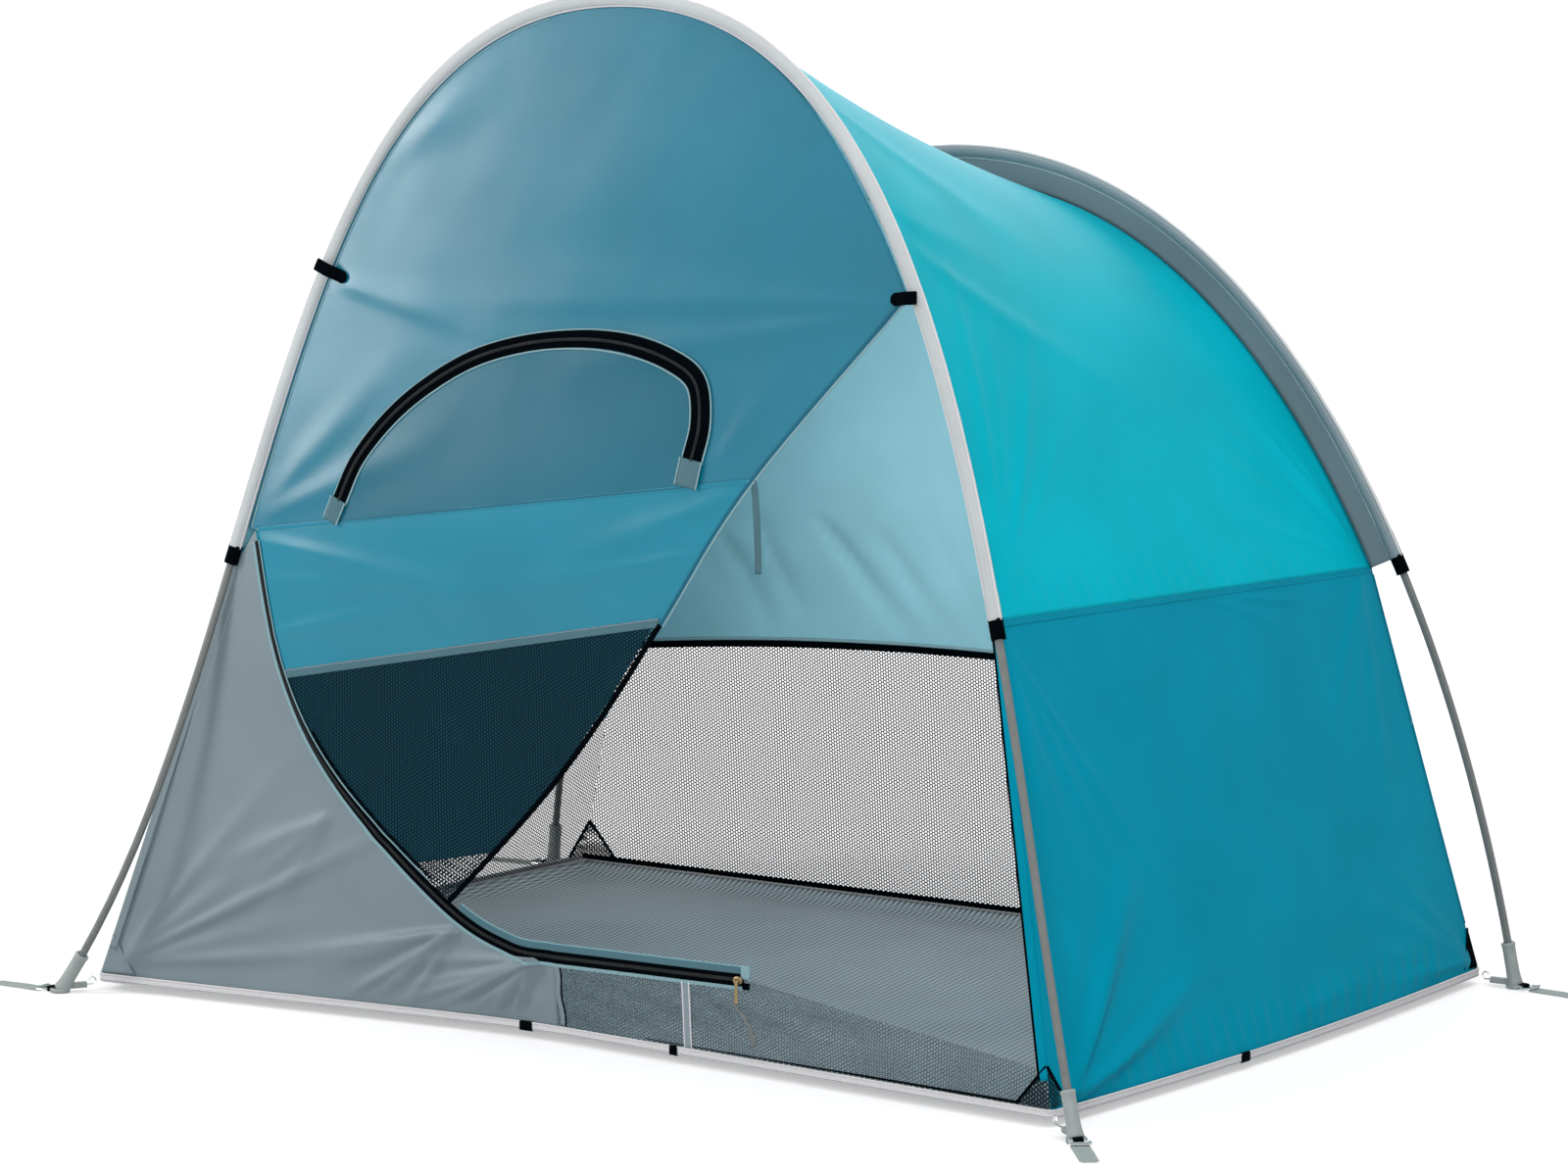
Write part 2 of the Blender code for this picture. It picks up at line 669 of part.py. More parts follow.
def front_lines():
    """The outlines that the front wall's pieces share, as (x, z) points."""
    zip_arc = front_outline(ZIP_SHARES)
    edge = front_outline(EDGE_SHARES)
    zip_end = np.array(ZIP_END_SHARES) * (HALF_SPAN, FRONT_HEIGHT)
    lip_start = zip_arc[-1]
    run = np.linspace(lip_start, zip_end, SPAN_STEPS + 1)
    return zip_arc, edge, run


def make_front_panel(zip_arc, run):
    """The grey cloth between the left leg, the hem and the door zip, and the mesh lip beside it."""
    inner = FRONT.inset(SLEEVE_RADIUS + PANEL_STANDOFF)
    top = inner[-1, (0, 2)]
    corner = np.array((-BODY_LEFT, WALL_BOTTOM))
    seam = np.array(PANEL_SEAM_SHARES) * (HALF_SPAN, FRONT_HEIGHT)
    half = len(zip_arc) // 2
    down = np.linspace(top, corner, half + 1)
    across = np.linspace(corner, seam, len(zip_arc) - half)
    outer = np.vstack([down, across[1:]])
    front_patch("front_panel", outer, zip_arc, WALL_STEPS, "panel_grey")
    lip_end = np.array(LIP_END_SHARES) * (HALF_SPAN, FRONT_HEIGHT)
    upper = np.vstack([run, np.linspace(run[-1], lip_end, SPAN_STEPS + 1)[1:]])
    right = np.array((BODY_RIGHT, WALL_BOTTOM))
    lower = np.linspace(seam, right, len(upper))
    front_patch("front_lip_mesh", lower, upper, WALL_STEPS // 2, "mesh_dark", end=CORNER_GAP)


def make_door(zip_arc, edge):
    """The door's upper cloth, its band, and its mesh with the storm flap behind."""
    inner = FRONT.inset(SLEEVE_RADIUS + 2 * LAYER_GAP)[:, (0, 2)]
    middle = ARCH_SPANS // 2
    left_arch = inner[middle:][::-1]
    right_arch = inner[: middle + 1]
    low_left = zip_arc[0]
    left_arch = left_arch[left_arch[:, 1] > low_left[1] + CLOTH]
    free = edge[: SPAN_STEPS + 1][::-1]
    right_arch = right_arch[right_arch[:, 1] > free[-1, 1] + CLOTH]
    spare = len(left_arch) - len(right_arch)
    free = even(free, spare + 1)
    left_side = np.vstack([low_left, left_arch])
    right_side = np.vstack([free, right_arch])
    front_patch("door_upper", left_side, right_side, DOOR_STEPS, "door_teal", end=0)
    arc = zip_arc[: SPAN_STEPS + 1]
    front_patch("door_band", arc, edge[SPAN_STEPS : 2 * SPAN_STEPS + 1], DOOR_STEPS, "band_turquoise")
    arc = zip_arc[SPAN_STEPS : 3 * SPAN_STEPS + 1]
    slant = edge[2 * SPAN_STEPS :]
    front_patch("door_mesh", arc, slant, DOOR_STEPS, "mesh_dark", end=0)
    kept = round(FLAP_END_SHARE * len(arc))
    behind = -(CLOTH + LAYER_GAP)
    flap_side = slant[:kept] + (arc[:kept] - slant[:kept]) * FLAP_INSET_SHARE
    front_patch("storm_flap", arc[:kept], flap_side, DOOR_STEPS, "flap_teal", forward=behind)


def make_window(zip_arc, edge):
    """The door window's cover and the arched zip round it, in front of the door's upper cloth."""
    arch = front_outline(WINDOW_LEFT_SHARES + WINDOW_RIGHT_SHARES, WINDOW_CURVE_STEPS)
    ends = np.stack([zip_arc[0], edge[SPAN_STEPS]])
    sill_height = np.interp(arch[:, 0], ends[:, 0], ends[:, 1])
    spread = np.linspace(arch[0, 0], arch[-1, 0], len(arch))
    sill = np.stack([spread, np.interp(spread, ends[:, 0], ends[:, 1])], -1)
    layer = CLOTH + LAYER_GAP
    front_patch("door_window_cover", sill, arch, WALL_STEPS, "door_teal", forward=layer)
    lifted = np.maximum(arch[:, 1], sill_height + WINDOW_ZIP_WIDTH / 2)
    line = np.stack([arch[:, 0], lifted], -1)
    rows = ribbon_rows(line, WINDOW_ZIP_WIDTH, 2 * layer)
    sheet("door_window_zip", rows, "strap_black")


def make_zip(zip_arc, run):
    """The door zip's track, and its slider and pull at the open end."""
    forward = CLOTH / 2 + LAYER_GAP + TRACK_THICKNESS / 2
    line = np.vstack([zip_arc[TRACK_SKIP_STEPS:-1], run])
    sheet("zip_track", ribbon_rows(line, TRACK_WIDTH, forward), "strap_black", TRACK_THICKNESS)
    ends = on_front(run[[STRAIGHT_FROM_STEPS, -1]], forward)
    track = unit(ends[1] - ends[0])
    out = unit(np.cross(track, (0, 0, 1)))
    up = np.cross(out, track)
    place = Matrix(np.stack([track, out, up], -1).tolist()).to_4x4()
    face = TRACK_THICKNESS / 2 + LAYER_GAP
    centre = ends[1] - track * SLIDER_LENGTH / 2
    place.translation = centre
    half = Vector((SLIDER_LENGTH, SLIDER_THICKNESS, SLIDER_WIDTH)) / 2
    body = box_mesh("zip_slider", (-half.x, face, -half.z), (half.x, face + SLIDER_THICKNESS, half.z))
    slider = add("zip_slider", body, "brass", place)
    bar_out = face + SLIDER_THICKNESS + PULL_BAR_RADIUS + BAR_CLEARANCE + LOOP_WALL
    bar_reach = PULL_WIDTH / 2 + BAR_CLEARANCE + SLIDER_EAR
    for end in (-1, 1):
        inner_x = end * (bar_reach - SLIDER_EAR)
        outer_x = end * bar_reach
        low = (min(inner_x, outer_x), face + SLIDER_THICKNESS / 2, -SLIDER_EAR / 2)
        high = (max(inner_x, outer_x), bar_out + PULL_BAR_RADIUS + EAR_LIP, SLIDER_EAR / 2)
        cut_by(slider, helper(f"slider_ear_{end}", box_mesh("slider_ear", low, high), place), "UNION")
    along_bar = Matrix.Rotation(np.pi / 2, 4, "Y")
    half_bar = bar_reach - SLIDER_EAR / 2
    bar = cylinder_mesh("slider_bar", PULL_BAR_RADIUS, -half_bar, half_bar)
    bar_place = place @ Matrix.Translation((0, bar_out, 0)) @ along_bar
    cut_by(slider, helper("slider_bar", bar, bar_place), "UNION")
    hang = place @ Matrix.Translation((0, bar_out, 0)) @ Matrix.Rotation(np.pi / 2, 4, "Z")
    hang = hang @ Matrix.Rotation(np.pi / 2, 4, "Y")
    looped_strip("zip_pull", hang, PULL_BAR_RADIUS, PULL_LENGTH, PULL_WIDTH, PULL_THICKNESS, "brass")


def looped_strip(name, place, bar, length, width, thickness, finish):
    """A flat strip with an eye at one end. Local X runs along the strip and Y along the bar."""
    inner = bar + BAR_CLEARANCE
    outer = inner + LOOP_WALL
    low = -outer
    high = low + thickness
    first = np.arcsin(high / outer) if abs(high) < outer else 0
    turn = np.linspace(first, 1.5 * np.pi, 15)
    rounded = np.stack([np.cos(turn), np.sin(turn)], -1) * outer
    strip = np.array(((length, low), (length, high)))
    outline = np.vstack([rounded, strip])
    hole = np.linspace(0, 2 * np.pi, 16, endpoint=False)
    eye = np.stack([np.cos(hole), np.sin(hole)], -1) * inner
    curve = bpy.data.curves.new(name, "CURVE")
    curve.dimensions = "2D"
    curve.fill_mode = "BOTH"
    curve.extrude = width / 2
    for points in (outline, eye):
        spline = curve.splines.new("POLY")
        spline.points.add(len(points) - 1)
        for target, point in zip(spline.points, points):
            target.co = (*point, 0, 1)
        spline.use_cyclic_u = True
    turned = place @ Matrix.Rotation(np.pi / 2, 4, "X")
    return add(name, curve, finish, turned)


def make_tie(edge):
    """The tape that ties up the rolled door, hanging from its free edge."""
    top = edge[SPAN_STEPS] + (TIE_WIDTH / 2 + LAYER_GAP, 0)
    line = np.linspace(top, top - (0, TIE_LENGTH), 6)
    rows = ribbon_rows(line, TIE_WIDTH, 0)
    sheet("tie_strap", rows, "tab_grey")


def make_foot(name, hoop, x_side):
    """A boot with its base, arm and lug, the hook to the corner, the ring and the peg tab."""
    line = hoop.line if x_side > 0 else hoop.line[::-1]
    foot = line[0]
    axis = unit(along(line, np.array([BOOT_START + BOOT_LENGTH]))[0] - foot)
    tilt = Vector((0, 0, 1)).rotation_difference(Vector(axis)).to_matrix().to_4x4()
    stand = Matrix.Translation(foot)
    body = cylinder_mesh(f"boot_{name}", BOOT_RADIUS, BOOT_START, BOOT_START + BOOT_LENGTH)
    boot = add(f"boot_{name}", body, "boot_grey", stand @ tilt)
    base_disc = cylinder_mesh("base", BASE_RADIUS, 0, BASE_HEIGHT, BASE_SIDES)
    base = helper(f"base_{name}", base_disc, stand)
    cut_by(boot, base, "UNION")
    corner = wall_edges(x_side)[0 if hoop is FRONT else 1][-1]
    to_corner = corner - foot
    arm_yaw = np.arctan2(to_corner[1], to_corner[0])
    arm_turn = stand @ Matrix.Rotation(arm_yaw, 4, "Z")
    half = ARM_WIDTH / 2
    arm = box_mesh("arm", (0, -half, ARM_BOTTOM), (ARM_REACH, half, ARM_TOP))
    cut_by(boot, helper(f"arm_{name}", arm, arm_turn), "UNION")
    yaw = np.radians(TAB_YAW_DEGREES[name])
    turn = stand @ Matrix.Rotation(yaw, 4, "Z")
    half = LUG_WIDTH / 2
    lug = box_mesh("lug", (0, -half, LUG_BOTTOM), (LUG_REACH, half, LUG_TOP))
    cut_by(boot, helper(f"lug_{name}", lug, turn), "UNION")
    bore_radius = POLE_RADIUS + POLE_CLEARANCE
    bore = cylinder_mesh("bore", bore_radius, BOOT_FLOOR, BOOT_START + BOOT_LENGTH + BOOT_RADIUS)
    cut_by(boot, helper(f"bore_{name}", bore, stand @ tilt), "DIFFERENCE")
    slot = cylinder_mesh("ring_slot", RING_WIRE + BAR_CLEARANCE, -LUG_WIDTH, LUG_WIDTH)
    slot_place = turn @ Matrix.Translation((RING_NEAR, 0, RING_HEIGHT)) @ Matrix.Rotation(np.pi / 2, 4, "X")
    cut_by(boot, helper(f"ring_slot_{name}", slot, slot_place), "DIFFERENCE")
    make_ring(name, turn)
    make_hook(name, arm_turn, np.linalg.norm(to_corner[:2]))
    hinge = turn @ Matrix.Translation((RING_NEAR + RING_LENGTH, 0, RING_HEIGHT))
    looped_strip(f"peg_tab_{name}", hinge, RING_WIRE, TAB_LENGTH, TAB_WIDTH, TAB_THICKNESS, "tab_grey")


def make_ring(name, turn):
    """A ring of wire with two straight bars and rounded corners."""
    low = np.array((RING_NEAR, -RING_WIDTH / 2))
    high = np.array((RING_NEAR + RING_LENGTH, RING_WIDTH / 2))
    middle = (low + high) / 2
    points = []
    for (x, y), start in (
        ((high[0], high[1]), 0),
        ((low[0], high[1]), 1),
        ((low[0], low[1]), 2),
        ((high[0], low[1]), 3),
    ):
        centre = np.array((x, y)) - np.sign(np.array((x, y)) - middle) * RING_CORNER
        for angle in (start + np.array((0, 1 / 3, 2 / 3, 1))) * np.pi / 2:
            points.append(centre + np.array((np.cos(angle), np.sin(angle))) * RING_CORNER)
    placed = [turn @ Vector((x, y, RING_HEIGHT)) for x, y in points]
    tube(f"peg_ring_{name}", placed, RING_WIRE, "steel", closed=True)


def make_hook(name, turn, reach):
    """The wire hook from the arm's end to the tent's corner."""
    start = ARM_REACH + POLE_JOINT_GAP
    end = reach - HOOK_STANDOFF - HOOK_WIRE - HOOK_CURL
    turn_angles = np.linspace(-np.pi / 2, np.pi, 9)
    curl = np.stack([np.cos(turn_angles), np.sin(turn_angles)], -1) * HOOK_CURL
    curl += (end, HOOK_HEIGHT + HOOK_CURL)
    points = np.vstack([[(start, HOOK_HEIGHT)], curl])
    placed = [turn @ Vector((x, 0, z)) for x, z in points]
    tube(f"corner_hook_{name}", placed, HOOK_WIRE, "steel")


def make_toggles():
    """A small rod in front of the sleeve on each side, for the rolled door."""
    for side, part_of in (("right", slice(0, CURVE_STEPS + 1)), ("left", slice(CURVE_STEPS, None))):
        line = FRONT.line[part_of]
        nearest = np.abs(line[:, 2] - TOGGLE_HEIGHT).argmin()
        centre = line[nearest] - FRONT.normal * (SLEEVE_RADIUS + LAYER_GAP + TOGGLE_RADIUS)
        lean = Matrix.Translation(centre) @ Matrix.Rotation(np.pi / 2, 4, "Y")
        half = TOGGLE_LENGTH / 2
        rod = cylinder_mesh(f"toggle_{side}", TOGGLE_RADIUS, -half, half, TOGGLE_SIDES)
        add(f"toggle_{side}", rod, "strap_black", lean)


clear_scene()
PARTS = collection("Beach tent")
CUTTERS = collection("Cutters")
FRONT = Hoop(
    FRONT_RIGHT_SHARES, FRONT_LEFT_SHARES, FRONT_HEIGHT, FRONT_FOOT, FRONT_LEAN, FRONT_SEAM_HEIGHT
)
REAR = Hoop(REAR_RIGHT_SHARES, REAR_LEFT_SHARES, REAR_HEIGHT, REAR_FOOT, REAR_LEAN, REAR_SEAM_HEIGHT)
CORNERS = {"front_right": (1, -1), "front_left": (-1, -1), "rear_right": (1, 1), "rear_left": (-1, 1)}


def main():
    make_poles("front", FRONT)
    make_poles("rear", REAR)
    make_sleeve("front", FRONT)
    make_sleeve("rear", REAR)
    make_canopy()
    make_strip()
    make_side_walls()
    make_rear_wall()
    make_floor()
    make_hem()
    make_gussets()
    zip_arc, edge, run = front_lines()
    make_front_panel(zip_arc, run)
    make_door(zip_arc, edge)
    make_window(zip_arc, edge)
    make_zip(zip_arc, run)
    make_tie(edge)
    for name, (x_side, y_side) in CORNERS.items():
        make_foot(name, FRONT if y_side < 0 else REAR, x_side)
    make_toggles()


main()
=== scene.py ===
"""Beach tent: the finish of every surface, its sewn and moulded detail, the stage and the camera.

Metres, +Z up, X across the tent and Y from the front (-Y) to the rear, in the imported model's frame.
"""

import json

import bmesh
import bpy
import numpy as np
from bpy.props import FloatProperty, FloatVectorProperty
from mathutils import Matrix, Vector

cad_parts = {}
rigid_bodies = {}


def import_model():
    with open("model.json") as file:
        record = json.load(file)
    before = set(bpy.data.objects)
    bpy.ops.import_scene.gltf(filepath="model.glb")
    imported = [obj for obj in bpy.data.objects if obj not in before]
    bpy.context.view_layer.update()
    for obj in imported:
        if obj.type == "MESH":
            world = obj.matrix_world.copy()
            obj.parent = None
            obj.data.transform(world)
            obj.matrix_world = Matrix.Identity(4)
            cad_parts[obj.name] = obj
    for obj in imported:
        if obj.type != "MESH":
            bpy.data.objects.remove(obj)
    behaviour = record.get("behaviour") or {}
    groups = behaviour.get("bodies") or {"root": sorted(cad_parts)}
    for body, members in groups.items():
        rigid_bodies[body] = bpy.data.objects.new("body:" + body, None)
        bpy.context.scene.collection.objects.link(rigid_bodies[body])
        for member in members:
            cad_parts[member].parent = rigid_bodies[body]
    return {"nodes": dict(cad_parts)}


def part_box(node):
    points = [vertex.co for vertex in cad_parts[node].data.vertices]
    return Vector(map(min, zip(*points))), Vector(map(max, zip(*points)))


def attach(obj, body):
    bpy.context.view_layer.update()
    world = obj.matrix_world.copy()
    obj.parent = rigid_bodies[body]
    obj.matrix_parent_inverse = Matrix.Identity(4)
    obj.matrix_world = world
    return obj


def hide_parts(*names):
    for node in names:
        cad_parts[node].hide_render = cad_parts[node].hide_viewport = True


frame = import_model()

bl_info = {
    "name": "Beach tent",
    "version": (1, 0, 0),
    "blender": (4, 5, 0),
    "location": "3D View > Sidebar > Beach tent",
    "description": "Adds a beach tent on two pole hoops with its cloth, seams, zips and feet",
    "category": "Add Mesh",
}

# Guide lines on the hoops' planes, as shares of half the foot span and of the hoop's height
FRONT_RIGHT_SHARES = ((1, 0), (0.788, 0.382), (0.639, 1), (0, 1))
FRONT_LEFT_SHARES = ((-1, 0), (-0.590, 0.364), (-0.740, 1), (0, 1))
REAR_RIGHT_SHARES = ((1, 0), (0.900, 0.515), (0.574, 1), (0, 1))
REAR_LEFT_SHARES = ((-1, 0), (-0.900, 0.515), (-0.574, 1), (0, 1))
ZIP_SHARES = (
    (-0.670, 0.472),
    (-0.605, 0.331),
    (-0.496, 0.230),
    (-0.288, 0.122),
    (-0.166, 0.0875),
    (-0.075, 0.0836),
)
ZIP_END_SHARES = (0.314, 0.090)
EDGE_SHARES = ((0.561, 0.737), (0.310, 0.561), (0.152, 0.420), (-0.046, 0.269), (-0.288, 0.122))
WINDOW_SHARES = (
    (-0.495, 0.508),
    (-0.453, 0.558),
    (-0.373, 0.608),
    (-0.261, 0.650),
    (-0.148, 0.672),
    (-0.033, 0.681),
    (0.063, 0.679),
    (0.141, 0.668),
    (0.194, 0.649),
    (0.209, 0.612),
    (0.199, 0.575),
)
LIP_END_SHARES = (0.890, 0.052)
FRONT_TUCK_SHARE = -0.144

# Steps along each half of a hoop, and between two shares of the door's guide lines
HOOP_STEPS = 400
GUIDE_STEPS = 40

# Lengths in metres
PANEL_SEAM_X = -0.065
FRONT_TUCK = 0.080
TUCK_SOFTNESS = 0.100
BEND_SOFTNESS = 0.090
DOOR_BELLY = 0.014
WALL_BOTTOM = 0.0180
SLEEVE_RADIUS = 0.011
STRIP_WIDTH = 0.037
CAD_CLOTH = 0.0012
LAYER_GAP = 0.0005
SEAM_GAP = 0.0004
PANEL_STANDOFF = 0.0030
SIDE_BOW = 0.024
WINDOW_TOP = 0.391
SAME_POINT = 2e-5

# Directions, corners as (x side, y side), and the way each peg tab points, in degrees
FORWARD = np.array((0.0, -1.0, 0.0))
BACK = np.array((0.0, 1.0, 0.0))
UP = np.array((0.0, 0.0, 1.0))
CORNERS = {"front_right": (1, -1), "front_left": (-1, -1), "rear_right": (1, 1), "rear_left": (-1, 1)}
TAB_YAW = {"front_right": -50.0, "front_left": 180.0, "rear_right": -6.0, "rear_left": 186.0}

# A stitch is a stretched octahedron and a zip tooth is a block, as (along, across, out) before scaling
STITCH = ((-1, 0, 0), (0, -0.30, 0), (0, 0, 0.30), (0, 0.30, 0), (0, 0, -0.15), (1, 0, 0))
STITCH_FACES = ((0, 1, 2), (0, 2, 3), (0, 3, 4), (0, 4, 1), (5, 2, 1), (5, 3, 2), (5, 4, 3), (5, 1, 4))
STITCH_SHARE = 0.36
TOOTH = tuple((x, y, z) for x in (-0.5, 0.5) for y in (-1, 1) for z in (0, 0.5))
TOOTH_FACES = ((0, 1, 3, 2), (4, 6, 7, 5), (0, 4, 5, 1), (2, 3, 7, 6), (0, 2, 6, 4), (1, 5, 7, 3))

# The camera that was fitted to the photograph, in degrees, metres and the photograph's pixels
CAMERA_TURN = 34.2
CAMERA_RISE = 8.2
CAMERA_DISTANCE = 10.25
FOCAL_PIXELS = 6930.0
PHOTO_PIXELS = 1600
CENTRE_RIGHT_PIXELS = 5
CENTRE_DOWN_PIXELS = 410

# Lamps: name, place, target, width and height, watts
LAMPS = (
    ("left", (-2.85, -2.45, 2.15), (-0.6, -0.5, 1.2), (0.8, 1.9), 74.0),
    ("roof", (2.6, -0.4, 5.8), (0, 0, 0.6), (2.7, 2.7), 180.0),
    ("rear", (-1.6, 5.0, 2.6), (0, 0.6, 0.6), (3.4, 3.4), 75.0),
    ("front", (3.0, -5.2, 1.5), (0, 0, 0.6), (1.3, 1.3), 110.0),
    ("inside", (0.0, -0.2, 0.92), (0.15, 0.6, 0.55), (0.26, 0.26), 4.6),
)


def linear(hex_colour):
    """An sRGB hex value as linear red, green and blue."""
    values = np.array([int(hex_colour[i : i + 2], 16) for i in (0, 2, 4)]) / 255
    return tuple(np.where(values <= 0.04045, values / 12.92, ((values + 0.055) / 1.055) ** 2.4))


def size_prop(name, description, default, unit="LENGTH"):
    return FloatProperty(name=name, description=description, default=default, unit=unit)


def colour_prop(name, description, hex_colour):
    return FloatVectorProperty(
        name=name, description=description, default=linear(hex_colour), subtype="COLOR", min=0, max=1
    )


class TentSizes(bpy.types.PropertyGroup):
    """The sizes of the tent's guide lines and of its sewn detail."""

    foot_span: size_prop("Foot span", "Between the left and right feet", 1.80)
    foot_depth: size_prop("Foot depth", "Between the front and rear feet", 1.26)
    front_height: size_prop("Front height", "Top of the front pole", 1.51)
    rear_height: size_prop("Rear height", "Top of the rear pole", 1.233)
    front_lean: size_prop("Front lean", "Backward lean of the front hoop", np.radians(8.9), "ROTATION")
    rear_lean: size_prop("Rear lean", "Forward lean of the rear hoop", np.radians(5.5), "ROTATION")
    front_seam: size_prop("Front seam height", "Where the front sleeve ends", 0.685)
    rear_seam: size_prop("Rear seam height", "Where the rear sleeve ends", 0.650)
    corner_right: size_prop("Right corner inset", "From the foot to the cloth's front right corner", 0.075)
    corner_left: size_prop("Left corner inset", "From the foot to the cloth's front left corner", 0.035)
    corner_front: size_prop("Front corner inset", "From the feet to the cloth's front corners", 0.055)
    corner_rear: size_prop("Rear corner inset", "From the feet to the cloth's rear corners", 0.065)
    sag: size_prop("Roof sag", "How far the roof is drawn in between the hoops", 0.022)
    cloth: size_prop("Cloth", "Thickness of the cloth as drawn", 0.0006)
    weave: size_prop("Weave pitch", "Thread spacing as drawn, coarser than the real 0.3 mm", 0.0016)
    mesh: size_prop("Mesh pitch", "Hole spacing as drawn, coarser than the real 2 mm", 0.0056)
    stitch: size_prop("Stitch pitch", "From one stitch to the next", 0.0050)


class TentColours(bpy.types.PropertyGroup):
    """The colours of the cloths, tapes and hard parts."""

    # The roof's colour is partly painted light, lighter than the walls' for the light on its top, and the
    # walls' colour is partly painted shade
    canopy: colour_prop("Canopy", "Outer face of the roof", "00BCCE")
    wall: colour_prop("Wall", "Outer face of the walls", "0096B2")
    inside: colour_prop("Inside", "Coated inner face of the roof and walls", "9DD0DA")
    door: colour_prop("Door", "Upper cloth of the door", "0B738C")
    band: colour_prop("Door band", "Brighter band across the door", "007E98")
    # The storm flap's dark teal is painted shade, for the shaded inside seen through the door's mesh
    flap: colour_prop("Storm flap", "Cloth behind the door's mesh", "08566C")
    panel: colour_prop("Panel", "Grey cloth at the lower left", "76868C")
    floor: colour_prop("Floor", "Woven floor", "969EA2")
    mesh: colour_prop("Mesh", "Knitted mesh", "0C1B22")
    lip: colour_prop("Lip mesh", "Knitted mesh below the door", "55646A")
    sleeve: colour_prop("Sleeve", "Pole sleeves", "B2B7B9")
    piping: colour_prop("Piping", "Edges of the sleeves and the hem", "D2D0D2")
    strip: colour_prop("Strip", "Tape in front of the rear sleeve", "7E8B91")
    edging: colour_prop("Edging", "Light turquoise binding", "7F9FA6")
    hem: colour_prop("Hem", "Binding round the base", "CECDCF")
    trim: colour_prop("Trim", "Tabs, ties and the flap over the zip", "456C77")
    black: colour_prop("Black tape", "Webbing, zip tape and gussets", "02060A")
    tab: colour_prop("Tab", "Grey webbing of the peg tabs", "95A19F")
    pole: colour_prop("Pole", "Painted pole", "626665")
    boot: colour_prop("Boot", "Moulded feet", "8A9190")
    steel: colour_prop("Steel", "Plated wire and ferrules", "D5D8D8")
    brass: colour_prop("Brass", "Zip slider and pull", "8E7C5C")


# Guide lines and surfaces


def bezier(controls, steps):
    """Points of the cubic (1-t)^3 a + 3(1-t)^2 t b + 3(1-t) t^2 c + t^3 d."""
    t = np.linspace(0, 1, steps + 1)[:, None]
    a, b, c, d = np.asarray(controls, float)
    return (1 - t) ** 3 * a + 3 * (1 - t) ** 2 * t * b + 3 * (1 - t) * t**2 * c + t**3 * d


def unit(vectors):
    """The vectors at length 1."""
    return vectors / np.maximum(np.linalg.norm(vectors, axis=-1, keepdims=True), 1e-12)


def distances(points):
    """How far along the line each point is."""
    steps = np.linalg.norm(np.diff(points, axis=0), axis=1)
    return np.concatenate([[0], np.cumsum(steps)])


def along(points, places):
    """Points at these distances along a line."""
    far = distances(points)
    return np.stack([np.interp(places, far, points[:, i]) for i in range(points.shape[1])], -1)


def even(points, count):
    """The line as this many evenly spread points."""
    return along(points, np.linspace(0, distances(points)[-1], count))


def through(points, steps):
    """A smooth curve through the points: on each span a cubic whose slopes come from the neighbours."""
    points = np.asarray(points, float)
    padded = np.vstack([2 * points[0] - points[1], points, 2 * points[-1] - points[-2]])
    t = np.linspace(0, 1, steps, endpoint=False)[None, :, None]
    p, q, r, s = (padded[i : len(padded) - 3 + i, None] for i in range(4))
    start = (2 * t**3 - 3 * t**2 + 1) * q + (t**3 - 2 * t**2 + t) * (r - p) / 2
    end = (3 * t**2 - 2 * t**3) * r + (t**3 - t**2) * (s - q) / 2
    return np.vstack([(start + end).reshape(-1, points.shape[1]), points[-1:]])


def ramp(distance, softness):
    """Zero below, the distance above, and a parabola of this half width between."""
    rounded = (distance + softness) ** 2 / (4 * softness)
    return np.where(distance < -softness, 0, np.where(distance > softness, distance, rounded))


def smooth(value, low, high):
    """0 below low, 1 above high, and 3t^2 - 2t^3 between."""
    t = np.clip((value - low) / (high - low), 0, 1)
    return t * t * (3 - 2 * t)


def ruled(side_a, side_b, steps):
    """A grid whose rows run straight from each point of one side to its partner on the other."""
    share = np.linspace(0, 1, steps + 1)[None, :, None]
    return side_a[:, None] * (1 - share) + side_b[:, None] * share


def creases(a, b, folds):
    """A sum of rounded ridges h * exp(-(distance / width)^2), each along a line from (a0, b0) to (a1, b1).

    A ridge starts narrow, widens, and its height goes as the sine of pi t^0.6 along the line.
    """
    total = np.zeros(np.broadcast(a, b).shape)
    for a0, b0, a1, b1, width, height in folds:
        run_a = a1 - a0
        run_b = b1 - b0
        length = np.hypot(run_a, run_b)
        t = np.clip(((a - a0) * run_a + (b - b0) * run_b) / length**2, 0, 1)
        off = ((a - a0) * run_b - (b - b0) * run_a) / length
        wide = width * (0.4 + 0.9 * t)
        total += height * np.exp(-((off / wide) ** 2)) * np.sin(np.pi * t**0.6)
    return total


def fan(anchor, angles, length, width, height, seed):
    """Folds that spread from an anchor at these angles in degrees, with seeded differences between them."""
    random = np.random.default_rng(seed)
    folds = []
    for angle in angles:
        reach = length * random.uniform(0.7, 1.1)
        turn = np.radians(angle + random.uniform(-3, 3))
        end = (anchor[0] + reach * np.cos(turn), anchor[1] + reach * np.sin(turn))
        folds.append((*anchor, *end, width * random.uniform(0.7, 1.3), height * random.uniform(0.5, 1.0)))
    return folds


def crumple(a, b, scale, seed):
    """A soft uneven surface: sixteen sine waves of random direction and phase, with lengths near scale."""
    random = np.random.default_rng(seed)
    total = np.zeros(np.broadcast(a, b).shape)
    waves = 16
    for _ in range(waves):
        turn = random.uniform(0, 2 * np.pi)
        length = scale * random.uniform(0.6, 1.8)
        phase = random.uniform(0, 2 * np.pi)
        total += np.sin((a * np.cos(turn) + b * np.sin(turn)) * 2 * np.pi / length + phase) * length / scale
    return total / waves


